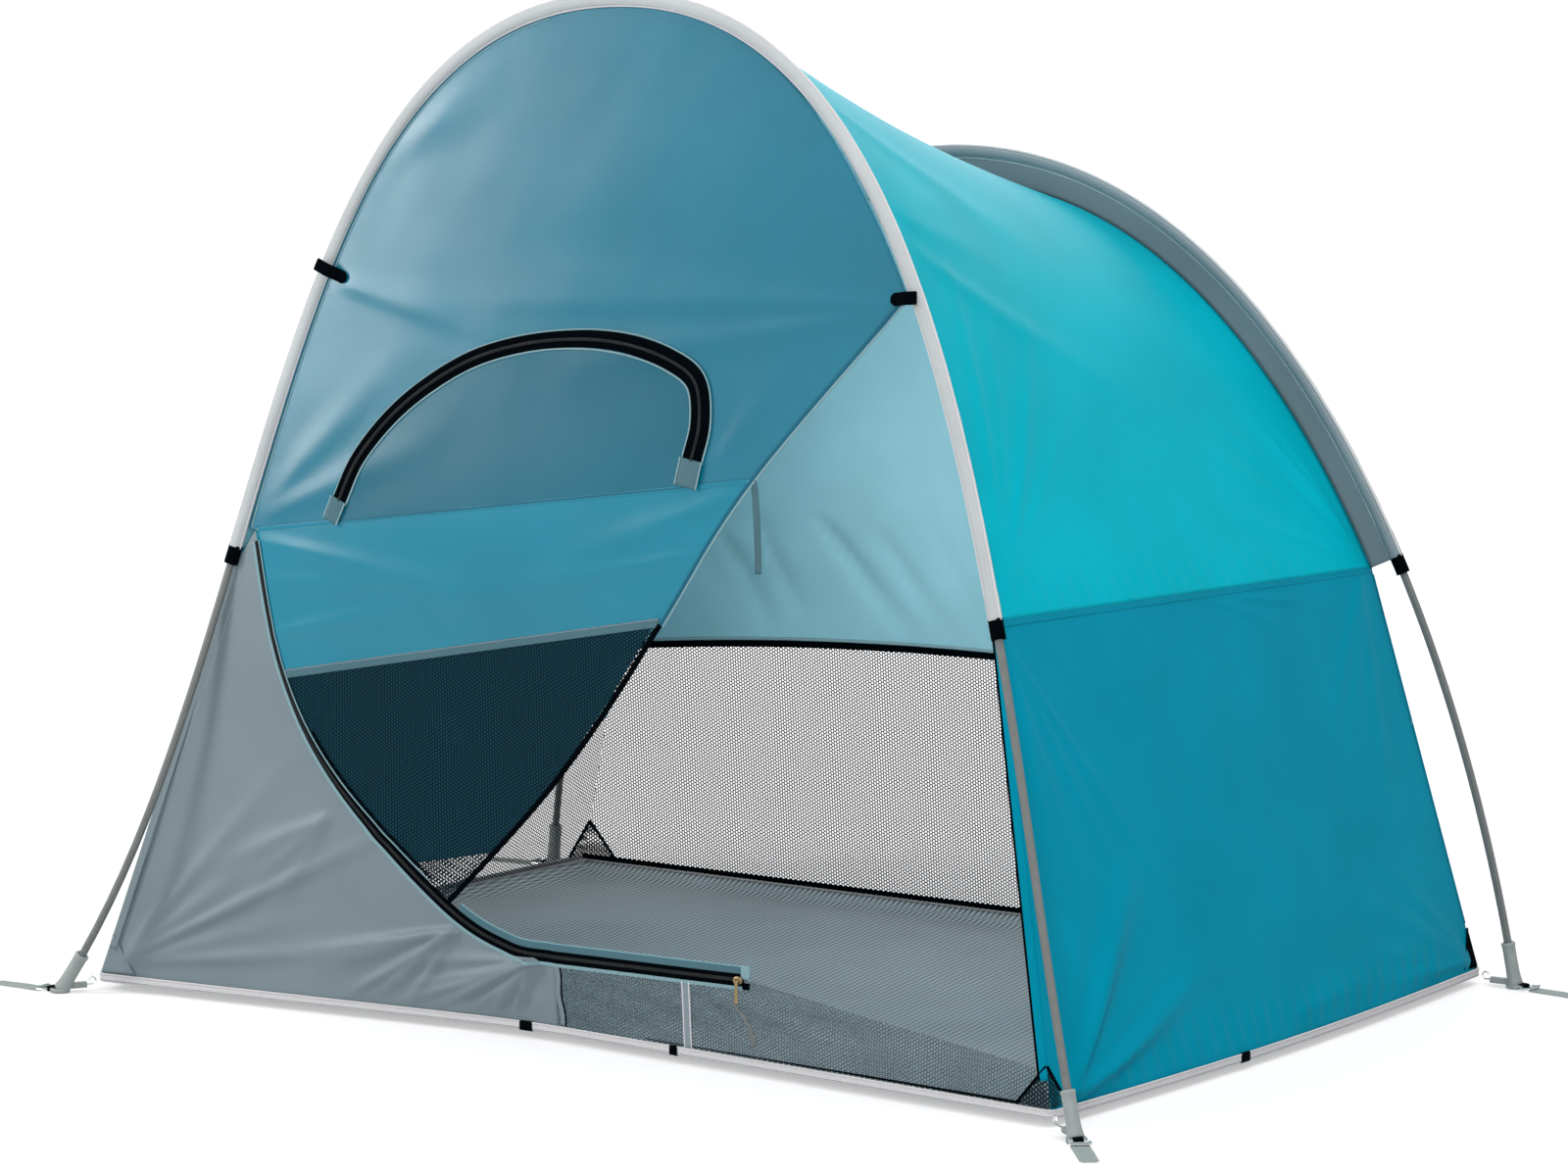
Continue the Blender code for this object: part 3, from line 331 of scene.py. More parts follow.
class Hoop:
    """One bent pole: its line from the right foot over the top to the left foot, and its plane."""

    def __init__(self, right, left, span, height, foot, slope, seam):
        scale = np.array((span / 2, height))
        up = bezier(right, HOOP_STEPS) * scale
        down = bezier(left, HOOP_STEPS) * scale
        flat = np.vstack([up, down[-2::-1]])
        self.line = np.stack([flat[:, 0], foot + slope * flat[:, 1], flat[:, 1]], -1)
        self.normal = unit(np.array((0, 1, -slope)))
        self.foot = foot
        self.slope = slope
        far = distances(self.line)
        rising = slice(None, HOOP_STEPS + 1)
        falling = slice(HOOP_STEPS, None)
        self.start = np.interp(seam, self.line[rising, 2], far[rising])
        self.end = np.interp(-seam, -self.line[falling, 2], far[falling])

    def arch(self, share):
        """Points between the two seams, from 0 at the right to 1 at the left."""
        return along(self.line, self.start + (self.end - self.start) * np.asarray(share))

    def inward(self, share):
        """Unit steps across the pole, in the hoop's plane, towards the inside."""
        step = 1e-3
        run = self.arch(np.clip(share + step, 0, 1)) - self.arch(np.clip(share - step, 0, 1))
        side = unit(np.cross(self.normal, run))
        return -side if side[len(side) // 2, 2] > 0 else side

    def plane_y(self, height):
        """The y of the hoop's plane at this height."""
        return self.foot + self.slope * height


class Shape:
    """The tent's guide lines and surfaces, from its sizes."""

    def __init__(self, sizes):
        self.sizes = sizes
        self.half = sizes.foot_span / 2
        depth = sizes.foot_depth / 2
        front_slope = np.tan(sizes.front_lean)
        rear_slope = -np.tan(sizes.rear_lean)
        self.front = Hoop(
            FRONT_RIGHT_SHARES, FRONT_LEFT_SHARES, sizes.foot_span, sizes.front_height, -depth,
            front_slope, sizes.front_seam,
        )
        self.rear = Hoop(
            REAR_RIGHT_SHARES, REAR_LEFT_SHARES, sizes.foot_span, sizes.rear_height, depth,
            rear_slope, sizes.rear_seam,
        )
        self.body_right = self.half - sizes.corner_right
        self.body_left = self.half - sizes.corner_left
        self.body_front = depth - sizes.corner_front
        self.rear_corner = self.half - sizes.corner_rear
        scale = np.array((self.half, sizes.front_height))
        self.zip_arc = through(np.array(ZIP_SHARES) * scale, GUIDE_STEPS)
        self.edge = through(np.array(EDGE_SHARES) * scale, GUIDE_STEPS)
        self.zip_run = np.linspace(self.zip_arc[-1], np.array(ZIP_END_SHARES) * scale, 60)
        self.window = through(np.array(WINDOW_SHARES) * scale, 12)
        self.lip_end = np.array(LIP_END_SHARES) * scale
        self.panel_seam = np.array((PANEL_SEAM_X, WALL_BOTTOM))
        self.front_folds = front_folds()

    def hem_y(self, x):
        """The front hem: straight from each corner to where the zipped door tucks it in."""
        middle = FRONT_TUCK_SHARE * self.half
        right_slope = FRONT_TUCK / (self.body_right - middle)
        left_slope = FRONT_TUCK / (self.body_left + middle)
        bend = (left_slope + right_slope) * ramp(x - middle, TUCK_SOFTNESS)
        return -self.body_front + (x + self.body_left) * left_slope - bend

    def wall_y(self, x, z):
        """The front wall without folds: the hoop's plane above the seam, straight down to the hem below."""
        seam = self.sizes.front_seam
        top = self.front.plane_y(seam)
        low_slope = (top - self.hem_y(x)) / (seam - WALL_BOTTOM)
        up = z - seam
        belly_half_width = 0.62
        belly_foot = 0.45
        belly_full = 0.85
        belly_fade = 0.30
        belly = DOOR_BELLY * np.clip(1 - (x / belly_half_width) ** 2, 0, 1)
        belly = belly * smooth(z, belly_foot, belly_full) * smooth(self.sizes.front_height - z, 0, belly_fade)
        return top + low_slope * up + (self.front.slope - low_slope) * ramp(up, BEND_SOFTNESS) - belly

    def on_front(self, places, forward=0.0):
        """Places (x, z) on the folded front wall, or this far in front of it."""
        x = places[..., 0]
        z = places[..., 1]
        crumple_height = 0.0006
        crumple_length = 0.12
        full_height = 0.07
        fold = creases(x, z, self.front_folds) + crumple_height * crumple(x, z, crumple_length, 5)
        fold *= smooth(z, WALL_BOTTOM, full_height) * self.edge_fade(x, z)
        return np.stack([x, self.wall_y(x, z) - forward - fold, z], -1)

    def edge_fade(self, x, z):
        """0 at the sleeve and 1 from 60 mm inside it, so that folds end where the cloth is sewn on."""
        sewn = 0.010
        free = 0.070
        line = self.front.line
        right, left = (half[: HOOP_STEPS + 1] for half in (line, line[::-1]))
        right = np.interp(z, right[:, 2], right[:, 0])
        left = np.interp(z, left[:, 2], left[:, 0])
        inside = np.minimum(right - x, x - left)
        return smooth(inside, sewn, free)

    def canopy_edges(self, share):
        """The canopy's front edge behind the front sleeve and its rear edge at the strip."""
        front = self.front.arch(share) + self.front.normal * (SLEEVE_RADIUS + LAYER_GAP)
        inset = SLEEVE_RADIUS + LAYER_GAP + STRIP_WIDTH
        rear = self.rear.arch(share) + self.rear.inward(share) * inset
        return front, rear - self.rear.normal * (CAD_CLOTH / 2 + SEAM_GAP)

    def wall_edges(self, side, count):
        """A side wall's front and rear edges, from the seam down to the hem."""
        ends = np.array((0.0, 0.5, 1.0))
        front, rear = self.canopy_edges(ends)
        at = 0 if side > 0 else -1
        body = self.body_right if side > 0 else -self.body_left
        corner_front = np.array((body, -self.body_front, WALL_BOTTOM))
        corner_rear = self.corner_rear(side)
        front_edge = np.linspace(front[at], corner_front, count)
        rear_edge = np.linspace(rear[at], corner_rear, count)
        return front_edge, rear_edge

    def corner_rear(self, side):
        """The cloth's rear corner on this side."""
        return np.array((side * self.rear_corner, self.rear.plane_y(WALL_BOTTOM), WALL_BOTTOM))


def front_folds():
    """The pulls in the door and the grey panel, as (x0, z0, x1, z1, half width, height)."""
    folds = [
        (0.55, 1.105, -0.10, 0.985, 0.020, 0.0050),
        (0.55, 1.100, -0.30, 1.120, 0.026, 0.0040),
        (0.54, 1.110, -0.45, 1.060, 0.018, 0.0030),
        (-0.56, 1.100, -0.10, 1.010, 0.020, 0.0040),
        (-0.60, 0.730, -0.20, 0.905, 0.026, 0.0032),
        (-0.60, 0.745, -0.32, 1.020, 0.026, 0.0030),
        (-0.60, 0.700, -0.10, 0.640, 0.020, 0.0045),
        (-0.58, 0.640, -0.05, 0.660, 0.022, 0.0026),
        (-0.57, 0.560, -0.15, 0.660, 0.020, 0.0045),
        (0.26, 0.830, -0.15, 0.660, 0.024, 0.0034),
        (0.20, 0.740, -0.30, 0.620, 0.018, 0.0040),
        (0.22, 0.870, 0.33, 1.020, 0.022, 0.0022),
        (-0.62, 1.000, -0.47, 1.330, 0.030, 0.0060),
        (-0.54, 1.240, -0.20, 1.380, 0.030, 0.0050),
    ]
    panel = (
        fan((-0.10, 0.118), (186, 193, 200, 208, 218, 229, 242), 0.32, 0.011, 0.0125, 11)
        + fan((-0.24, 0.150), (190, 200, 210, 221, 233), 0.36, 0.013, 0.0125, 12)
        + fan((-0.84, 0.040), (6, 14, 24, 36, 50), 0.55, 0.014, 0.0090, 13)
        + fan((-0.46, 0.300), (206, 220, 236), 0.28, 0.016, 0.0070, 14)
        + [(-0.30 + 0.06 * i, 0.022, -0.27 + 0.06 * i, 0.075, 0.008, 0.0040) for i in range(4)]
    )
    lip = fan((0.22, 0.110), (-38, -24, -12, -3), 0.45, 0.018, 0.0080, 15)
    folds = [(*fold[:4], fold[4] * 1.15, fold[5] * 0.6) for fold in folds]
    return folds + panel + lip


# Meshes


def surface(name, points, cut=None, wrap_rows=False, wrap_columns=False):
    """A mesh of quads over a grid of points. cut is the flat cut in metres, kept as the UV map."""
    rows, columns = points.shape[:2]
    i, j = np.meshgrid(
        np.arange(rows if wrap_rows else rows - 1),
        np.arange(columns if wrap_columns else columns - 1),
        indexing="ij",
    )
    corners = [(i, j), (i + 1, j), (i + 1, j + 1), (i, j + 1)]
    quads = np.stack([(a % rows) * columns + b % columns for a, b in corners], -1).reshape(-1, 4)
    mesh = bpy.data.meshes.new(name)
    mesh.from_pydata(points.reshape(-1, 3), [], quads)
    if cut is not None:
        places = np.stack([cut[a, b] for a, b in corners], -2).reshape(-1, 2)
        layer = mesh.uv_layers.new(name="Cut")
        layer.data.foreach_set("uv", places.astype(np.float32).ravel())
    return mesh


def outwards(mesh, merge=0.0):
    """The mesh with its faces turned outwards, after points nearer than merge are made one."""
    work = bmesh.new()
    work.from_mesh(mesh)
    if merge:
        bmesh.ops.remove_doubles(work, verts=work.verts, dist=merge)
        bmesh.ops.dissolve_degenerate(work, edges=work.edges, dist=merge / 2)
    bmesh.ops.recalc_face_normals(work, faces=work.faces)
    work.to_mesh(mesh)
    work.free()
    return mesh


def piece(name, mesh, finish, body="tent", stands_for=(), slot=None, thickness=0.0, lining=None):
    """An object in its finish, on its body. thickness makes a sheet solid. lining is its inner face."""
    made = bpy.data.objects.new(name, mesh)
    bpy.context.scene.collection.objects.link(made)
    mesh.materials.append(bpy.data.materials[finish])
    mesh.shade_smooth()
    if lining:
        mesh.materials.append(bpy.data.materials[lining])
    if thickness:
        wall = made.modifiers.new("Thickness", "SOLIDIFY")
        wall.thickness = thickness
        wall.offset = 0
        wall.material_offset = 1 if lining else 0
        wall.use_quality_normals = True
    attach(made, body)
    if stands_for:
        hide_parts(*stands_for)
    return made


def facing(points, cut, out):
    """The grid with its rows turned round if its face would look away from out."""
    across = points[1:, 1:] - points[:-1, :-1]
    other = points[:-1, 1:] - points[1:, :-1]
    if np.cross(across, other).reshape(-1, 3).sum(0) @ np.asarray(out, float) < 0:
        return points[::-1], cut[::-1]
    return points, cut


def cloth(
    name, points, cut, finish, held, rests_on,
    node=None, slot=None, lining=None, out=None, body="tent", thickness=0.0,
):
    """A sheet of cloth over a grid of points, with the size of its flat cut as its UV map.

    It looks towards out. Without out it is a tube. Without a thickness it has the cloth's.
    """
    if out is not None:
        points, cut = facing(points, cut, out)
    mesh = surface(name, points, cut, wrap_columns=out is None)
    thickness = thickness or bpy.context.scene.tent_sizes.cloth
    made = piece(name, mesh, finish, body, (node,) if node else (), slot, thickness, lining)
    return made


def swept(name, path, side, out, profile, finish, closed=False, grow=1.0, **facts):
    """A closed profile carried along a path: point = path + side * x * grow + out * z.

    An open path gets a pole at each end. The UV map is the distance along the path and round the profile.
    """
    ring = np.asarray(profile, float)
    wide = side * np.broadcast_to(grow, len(path))[:, None]
    points = path[:, None] + wide[:, None] * ring[None, :, :1] + out[:, None] * ring[None, :, 1:]
    far = distances(path)
    round_it = distances(np.vstack([ring, ring[:1]]))
    if closed:
        far = np.append(far, far[-1] + np.linalg.norm(path[0] - path[-1]))
    else:
        middle = ring.mean(0)
        ends = path[[0, -1]] + side[[0, -1]] * middle[0] + out[[0, -1]] * middle[1]
        caps = np.repeat(ends[:, None], len(ring), axis=1)
        points = np.concatenate([caps[:1], points, caps[1:]])
        far = np.concatenate([far[:1], far, far[-1:]])
    cut = np.stack(np.meshgrid(far, round_it, indexing="ij"), -1)
    mesh = surface(name, points, cut, wrap_rows=closed, wrap_columns=True)
    return piece(name, outwards(mesh, SAME_POINT), finish, **facts)


def capped(name, rings, finish, **facts):
    """A closed form through rings of points, with a pole at the middle of each end ring."""
    poles = rings[[0, -1]].mean(1, keepdims=True).repeat(rings.shape[1], 1)
    points = np.concatenate([poles[:1], rings, poles[1:]])
    mesh = surface(name, points, wrap_columns=True)
    return piece(name, outwards(mesh, SAME_POINT), finish, **facts)


def tape_profile(width, thickness, sides=12, power=5):
    """A flat rounded outline: a superellipse of this width and thickness."""
    turn = np.linspace(0, 2 * np.pi, sides, endpoint=False) + np.pi / sides
    across = np.sign(np.cos(turn)) * np.abs(np.cos(turn)) ** (2 / power) * width / 2
    up = np.sign(np.sin(turn)) * np.abs(np.sin(turn)) ** (2 / power) * thickness / 2
    return np.stack([across, up], -1)


def round_profile(radius, sides=10):
    """A circle of this radius as a closed outline."""
    turn = np.linspace(0, 2 * np.pi, sides, endpoint=False)
    return np.stack([np.cos(turn), np.sin(turn)], -1) * radius


def path_frame(path, out):
    """For each point of a path, the side and outward steps, square to it and to each other."""
    run = unit(np.gradient(path, axis=0))
    out = np.broadcast_to(out, path.shape)
    side = unit(np.cross(run, out))
    return side, unit(np.cross(side, run))


def tape(name, path, out, width, thickness, finish, power=5, sides=12, **facts):
    """A flat tape along a path, with its flat face towards out. grow, if given, widens it on the way."""
    side, up = path_frame(path, out)
    return swept(name, path, side, up, tape_profile(width, thickness, sides, power), finish, **facts)


def repeated(name, shape, faces, path, out, pitch, finish, **facts):
    """One small shape repeated along a path, as one mesh: each copy is turned to the path and to out."""
    side, up = path_frame(path, out)
    far = distances(path)
    count = max(int(far[-1] / pitch), 2)
    places = (np.arange(count) + 0.5) * far[-1] / count
    at = along(path, places)
    index = np.searchsorted(far, places).clip(0, len(path) - 1)
    across = side[index]
    outward = up[index]
    run = unit(np.cross(outward, across))
    local = np.asarray(shape, float)
    points = (
        at[:, None]
        + run[:, None] * local[None, :, :1]
        + across[:, None] * local[None, :, 1:2]
        + outward[:, None] * local[None, :, 2:]
    )
    numbered = (np.arange(count) * len(local))[:, None, None] + np.asarray(faces)[None]
    mesh = bpy.data.meshes.new(name)
    mesh.from_pydata(points.reshape(-1, 3), [], numbered.reshape(-1, len(faces[0])))
    return piece(name, outwards(mesh), finish, **facts)


def stitches(name, path, out, finish, **facts):
    """A row of stitches that lies on the cloth."""
    pitch = bpy.context.scene.tent_sizes.stitch
    shape = np.array(STITCH) * pitch * STITCH_SHARE
    return repeated(name, shape, STITCH_FACES, path, out, pitch, finish, **facts)


def zip_coil(name, path, tooth, pitch):
    """A nylon coil: teeth of this length, half width and height across the zip at this pitch."""
    return repeated(name, np.array(TOOTH) * tooth, TOOTH_FACES, path, FORWARD, pitch, "nylon_coil")


def lathe(name, profile, place, finish, sides=40, **facts):
    """A profile of (radius, height) turned round its axis: x = r cos a, y = r sin a, z = h, then placed."""
    turn = np.linspace(0, 2 * np.pi, sides, endpoint=False)[None, :]
    ring = np.asarray(profile, float)
    radius = ring[:, :1]
    height = np.broadcast_to(ring[:, 1:], (len(ring), sides))
    points = np.stack([radius * np.cos(turn), radius * np.sin(turn), height], -1)
    matrix = np.array(place)
    points = points @ matrix[:3, :3].T + matrix[:3, 3]
    mesh = surface(name, points, wrap_columns=True)
    return piece(name, outwards(mesh, SAME_POINT), finish, **facts)


# Materials


def add_node(tree, kind, inputs=None, **settings):
    """Adds a node with its settings. inputs maps a socket's name or number to a value or to a socket."""
    made = tree.nodes.new(kind)
    for name, value in settings.items():
        setattr(made, name, value)
    for key, value in (inputs or {}).items():
        socket = made.inputs[key]
        if isinstance(value, bpy.types.NodeSocket):
            tree.links.new(value, socket)
        else:
            socket.default_value = value
    return made


def new_material(name):
    """A new material's tree, its Principled shader and its output."""
    made = bpy.data.materials.new(name)
    made.use_nodes = True
    tree = made.node_tree
    return tree, tree.nodes["Principled BSDF"], tree.nodes["Material Output"]


def shade(colour, factor):
    """The colour times a factor, with full alpha."""
    return (*(np.clip(np.array(colour[:3]) * factor, 0, 1)), 1)


def noise(tree, scale, detail, stretch=None):
    """A noise pattern on Object coordinates, stretched if asked."""
    place = add_node(tree, "ShaderNodeTexCoord").outputs["Object"]
    if stretch:
        place = add_node(tree, "ShaderNodeMapping", {"Vector": place, "Scale": stretch}).outputs[0]
    pattern = {"Vector": place, "Scale": scale, "Detail": detail}
    return add_node(tree, "ShaderNodeTexNoise", pattern).outputs["Fac"]


def dressed(tree, shader, colour, tone, rough, height, bump, depth, invert=False):
    """Links a colour times a tone, a roughness and a relief of this depth to the shader."""
    scaled = {0: colour[:3], "Scale": tone}
    base = add_node(tree, "ShaderNodeVectorMath", scaled, operation="SCALE").outputs[0]
    raised = {"Strength": bump, "Distance": depth, "Height": height}
    relief = add_node(tree, "ShaderNodeBump", raised, invert=invert)
    tree.links.new(base, shader.inputs["Base Color"])
    if rough is not None:
        tree.links.new(rough, shader.inputs["Roughness"])
    tree.links.new(relief.outputs[0], shader.inputs["Normal"])
    return base


def woven(
    name, colour, pitch, roughness,
    sheen=0.0, glow=0.0, bump=0.25, contrast=0.03, gloss=0.35, long=1.0,
):
    """Woven polyester with a thin coating: a plain weave, faint crumpling and some light passed through.

    The weave's height is sin(u) sin(v) over the flat cut, which is the over and under of the threads.
    long is how much wider the threads lie along the cut than across it, and gloss is the specular level.
    """
    tree, shader, output = new_material(name)
    place = add_node(tree, "ShaderNodeUVMap", uv_map="Cut").outputs["UV"]
    split = add_node(tree, "ShaderNodeSeparateXYZ", {0: place})
    waves = []
    for axis, step in (("X", pitch), ("Y", pitch * long)):
        phase = {0: split.outputs[axis], 1: 2 * np.pi / step}
        turn = add_node(tree, "ShaderNodeMath", phase, operation="MULTIPLY")
        waves.append(add_node(tree, "ShaderNodeMath", {0: turn.outputs[0]}, operation="SINE").outputs[0])
    weave = add_node(tree, "ShaderNodeMath", {0: waves[0], 1: waves[1]}, operation="MULTIPLY").outputs[0]
    cloud = noise(tree, 5.0, 3.0)
    slub = noise(tree, 160.0, 2.0)
    spread = {"Value": cloud, 1: 0.3, 2: 0.7, 3: 0.94, 4: 1.06}
    tone = add_node(tree, "ShaderNodeMapRange", spread).outputs[0]
    parts = {0: weave, 1: contrast, 2: tone}
    thread = add_node(tree, "ShaderNodeMath", parts, operation="MULTIPLY_ADD").outputs[0]
    parts = {0: slub, 1: 0.04, 2: thread}
    grain = add_node(tree, "ShaderNodeMath", parts, operation="MULTIPLY_ADD").outputs[0]
    spread = {"Value": slub, 3: roughness - 0.03, 4: roughness + 0.03}
    rough = add_node(tree, "ShaderNodeMapRange", spread)
    parts = {0: slub, 1: 0.2, 2: weave}
    height = add_node(tree, "ShaderNodeMath", parts, operation="MULTIPLY_ADD").outputs[0]
    base = dressed(tree, shader, shade(colour, 0.97), grain, rough.outputs[0], height, bump, pitch / 16)
    shader.inputs["Sheen Weight"].default_value = sheen
    shader.inputs["Sheen Roughness"].default_value = 0.35
    shader.inputs["Sheen Tint"].default_value = shade(colour, 1.2)
    shader.inputs["Specular IOR Level"].default_value = gloss
    if glow:
        through_it = add_node(tree, "ShaderNodeBsdfTranslucent", {"Color": base})
        parts = {0: glow, 1: shader.outputs[0], 2: through_it.outputs[0]}
        mixed = add_node(tree, "ShaderNodeMixShader", parts)
        tree.links.new(mixed.outputs[0], output.inputs["Surface"])


def knitted_mesh(name, colour, pitch, open_share):
    """Warp-knitted polyester mesh: round holes on a triangular grid, where three crossed cosines peak."""
    tree, shader, _ = new_material(name)
    place = add_node(tree, "ShaderNodeUVMap", uv_map="Cut").outputs["UV"]
    step = 2 * np.pi / (pitch * np.sin(np.radians(60)))
    waves = []
    for turn in np.radians((0, 60, 120)):
        direction = (np.cos(turn) * step, np.sin(turn) * step, 0)
        phase = add_node(tree, "ShaderNodeVectorMath", {0: place, 1: direction}, operation="DOT_PRODUCT")
        wave = add_node(tree, "ShaderNodeMath", {0: phase.outputs["Value"]}, operation="COSINE")
        waves.append(wave.outputs[0])
    pair = add_node(tree, "ShaderNodeMath", {0: waves[0], 1: waves[1]}, operation="ADD").outputs[0]
    total = add_node(tree, "ShaderNodeMath", {0: pair, 1: waves[2]}, operation="ADD").outputs[0]
    # The cosines' sum runs from -1.5 to 3, so this level leaves about this share open
    level = 0.9 - 2.5 * open_share
    edge = 0.12
    cover = {"Value": total, 1: level - edge, 2: level + edge, 3: 1.0, 4: 0.0}
    solid = add_node(tree, "ShaderNodeMapRange", cover)
    spread = {"Value": noise(tree, 60.0, 2.0), 3: 0.75, 4: 1.25}
    tone = add_node(tree, "ShaderNodeMapRange", spread).outputs[0]
    dressed(tree, shader, shade(colour, 1), tone, None, total, 0.4, pitch / 20, invert=True)
    tree.links.new(solid.outputs[0], shader.inputs["Alpha"])
    shader.inputs["Roughness"].default_value = 0.65
    shader.inputs["Specular IOR Level"].default_value = 0.05


def ribbed_tape(name, colour, pitch, roughness=0.7, dark=0.82, bump=0.5, gloss=0.08):
    """Grosgrain or webbing: matt ribs across the tape at its filling yarns' pitch, with a fine fuzz."""
    tree, shader, _ = new_material(name)
    place = add_node(tree, "ShaderNodeUVMap", uv_map="Cut").outputs["UV"]
    split = add_node(tree, "ShaderNodeSeparateXYZ", {0: place})
    phase = {0: split.outputs["X"], 1: 2 * np.pi / pitch}
    turn = add_node(tree, "ShaderNodeMath", phase, operation="MULTIPLY")
    wave = add_node(tree, "ShaderNodeMath", {0: turn.outputs[0]}, operation="SINE").outputs[0]
    fuzz = noise(tree, 220.0, 3.0)
    spread = {"Value": wave, 1: -1.0, 2: 1.0, 3: dark, 4: 1.0}
    tone = add_node(tree, "ShaderNodeMapRange", spread).outputs[0]
    parts = {0: fuzz, 1: 0.18, 2: tone}
    mixed = add_node(tree, "ShaderNodeMath", parts, operation="MULTIPLY_ADD").outputs[0]
    spread = {"Value": fuzz, 3: roughness - 0.08, 4: roughness + 0.1}
    rough = add_node(tree, "ShaderNodeMapRange", spread)
    parts = {0: fuzz, 1: 0.8, 2: wave}
    height = add_node(tree, "ShaderNodeMath", parts, operation="MULTIPLY_ADD").outputs[0]
    dressed(tree, shader, shade(colour, 0.95), mixed, rough.outputs[0], height, bump, pitch / 20)
    shader.inputs["Specular IOR Level"].default_value = gloss


def hard(name, colour, roughness, metallic=0.0, scale=300.0, bump=0.15, stretch=(1, 1, 1)):
    """A paint, moulded plastic or plated metal: fine grain in Object coordinates, and worn roughness."""
    tree, shader, _ = new_material(name)
    grain = noise(tree, scale, 4.0, stretch)
    worn = noise(tree, scale / 12, 3.0, stretch)
    spread = {"Value": worn, 1: 0.3, 2: 0.7, 3: 0.92, 4: 1.08}
    tone = add_node(tree, "ShaderNodeMapRange", spread).outputs[0]
    spread = {"Value": worn, 1: 0.3, 2: 0.7, 3: roughness * 0.85, 4: roughness * 1.2}
    rough = add_node(tree, "ShaderNodeMapRange", spread)
    dressed(tree, shader, shade(colour, 1), tone, rough.outputs[0], grain, bump, 0.0002)
    shader.inputs["Metallic"].default_value = metallic


def make_materials():
    """Every finish of the tent, made once and kept by name in the file."""
    sizes = bpy.context.scene.tent_sizes
    colours = bpy.context.scene.tent_colours
    weave = sizes.weave
    # Polyester taffeta, coated on its back: a tight matt weave that lets a bright sky glow through it
    # The roof's lighter colour is partly painted light on its top, and the walls' darker colour is partly
    # painted shade
    woven("taffeta_canopy", colours.canopy, weave, 0.40, glow=0.30, gloss=0.03)
    woven("taffeta_wall", colours.wall, weave, 0.42, glow=0.26, gloss=0.03)
    # The door's taffeta is calendered: a soft shine along its folds, and less light through it
    woven("taffeta_door", colours.door, weave, 0.22, glow=0.12, gloss=0.50)
    woven("taffeta_window", shade(colours.door, 0.70), weave, 0.25, glow=0.08, gloss=0.40)
    woven("taffeta_band", colours.band, weave, 0.25, glow=0.12, gloss=0.45)
    # Heavier taffeta, not calendered: flat and even, with hardly a shine. The panel and trim are piece dyed
    woven("taffeta_panel", colours.panel, weave, 0.48, sheen=0.2, glow=0.10)
    woven("taffeta_flap", colours.flap, weave, 0.6, gloss=0.2)
    # The storm flap's dark teal is painted shade, for the shaded inside behind the door's mesh
    woven("taffeta_trim", colours.trim, weave, 0.5, sheen=0.1, glow=0.15)
    # The coated back of the roof and walls: paler and more matt than their face
    woven("taffeta_inside", colours.inside, weave, 0.60, glow=0.22, gloss=0.2)
    # Laid polyethylene tapes of the tub floor: broad flat tapes, drawn coarser than the real 3 mm, that
    # show from the front as fine dots
    woven("polyethylene_floor", colours.floor, 0.0105, 0.6, bump=0.3, contrast=0.65, gloss=0.1, long=5.5)
    # Warp-knitted polyester mesh: round holes, more open in the windows than in the door
    knitted_mesh("knitted_mesh_window", colours.mesh, sizes.mesh, 0.56)
    knitted_mesh("knitted_mesh_lip", colours.lip, sizes.mesh, 0.63)
    knitted_mesh("knitted_mesh_door", colours.mesh, sizes.mesh, 0.45)
    # Woven polyester canvas of the sleeves, drawn coarser than the real 0.5 mm: a dry, faintly rough face
    woven("polyester_sleeve", colours.sleeve, 0.0020, 0.7, sheen=0.2, bump=0.5)
    woven("polyester_strip", colours.strip, 0.0020, 0.65, bump=0.5, gloss=0.05)
    # Grosgrain bindings, woven with thick filling yarns: fine ribs across the tape
    ribbed_tape("grosgrain_piping", colours.piping, 0.0025)
    ribbed_tape("grosgrain_hem", colours.hem, 0.0025)
    ribbed_tape("grosgrain_edging", colours.edging, 0.0022)
    # Polypropylene webbing: deep ribs, and nearly no shine when dyed black
    ribbed_tape("webbing_black", colours.black, 0.0024, roughness=0.85, dark=0.6, gloss=0.015)
    ribbed_tape("webbing_grey", colours.tab, 0.0026, dark=0.75)
    # Spun polyester sewing thread: matt, and close in colour to the cloth it is in
    hard("thread_white", colours.piping, 0.7)
    hard("thread_teal", shade(colours.wall, 0.75), 0.7)
    # Nylon coil of the zips, drawn and dyed: dull black with hardly a grain
    hard("nylon_coil", colours.black, 0.70, bump=0.05)
    # Steel tube, powder coated: an even grey with a fine orange-peel grain
    hard("powder_coat_pole", colours.pole, 0.42, scale=900.0, bump=0.2)
    # Glass-filled nylon, injection moulded with a fine textured face: satin
    hard("moulded_nylon", colours.boot, 0.5, scale=700.0, bump=0.25)
    # Bent steel wire, nickel plated: bright with soft highlights
    hard("nickel_wire", colours.steel, 0.22, metallic=1.0, scale=400.0, bump=0.05)
    # Drawn steel tube of the ferrules: a grain that runs along the tube
    hard("drawn_steel", colours.steel, 0.3, metallic=1.0, scale=400.0, bump=0.1, stretch=(1, 1, 0.05))
    # Zinc die casting with an antique brass plate: warm and dull
    hard("cast_brass", colours.brass, 0.3, metallic=1.0, scale=500.0, bump=0.1)


# Pieces


def finish_poles_and_wires():
    """The carried-over poles, ferrules, hooks and rings get their finishes."""
    finishes = {
        "_pole_": "powder_coat_pole",
        "_ferrule_": "drawn_steel",
        "corner_hook_": "nickel_wire",
        "peg_ring_": "nickel_wire",
    }
    for node, obj in frame["nodes"].items():
        for mark, finish in finishes.items():
            if mark in node:
                obj.data.materials.clear()
                obj.data.materials.append(bpy.data.materials[finish])
                obj.data.shade_smooth()


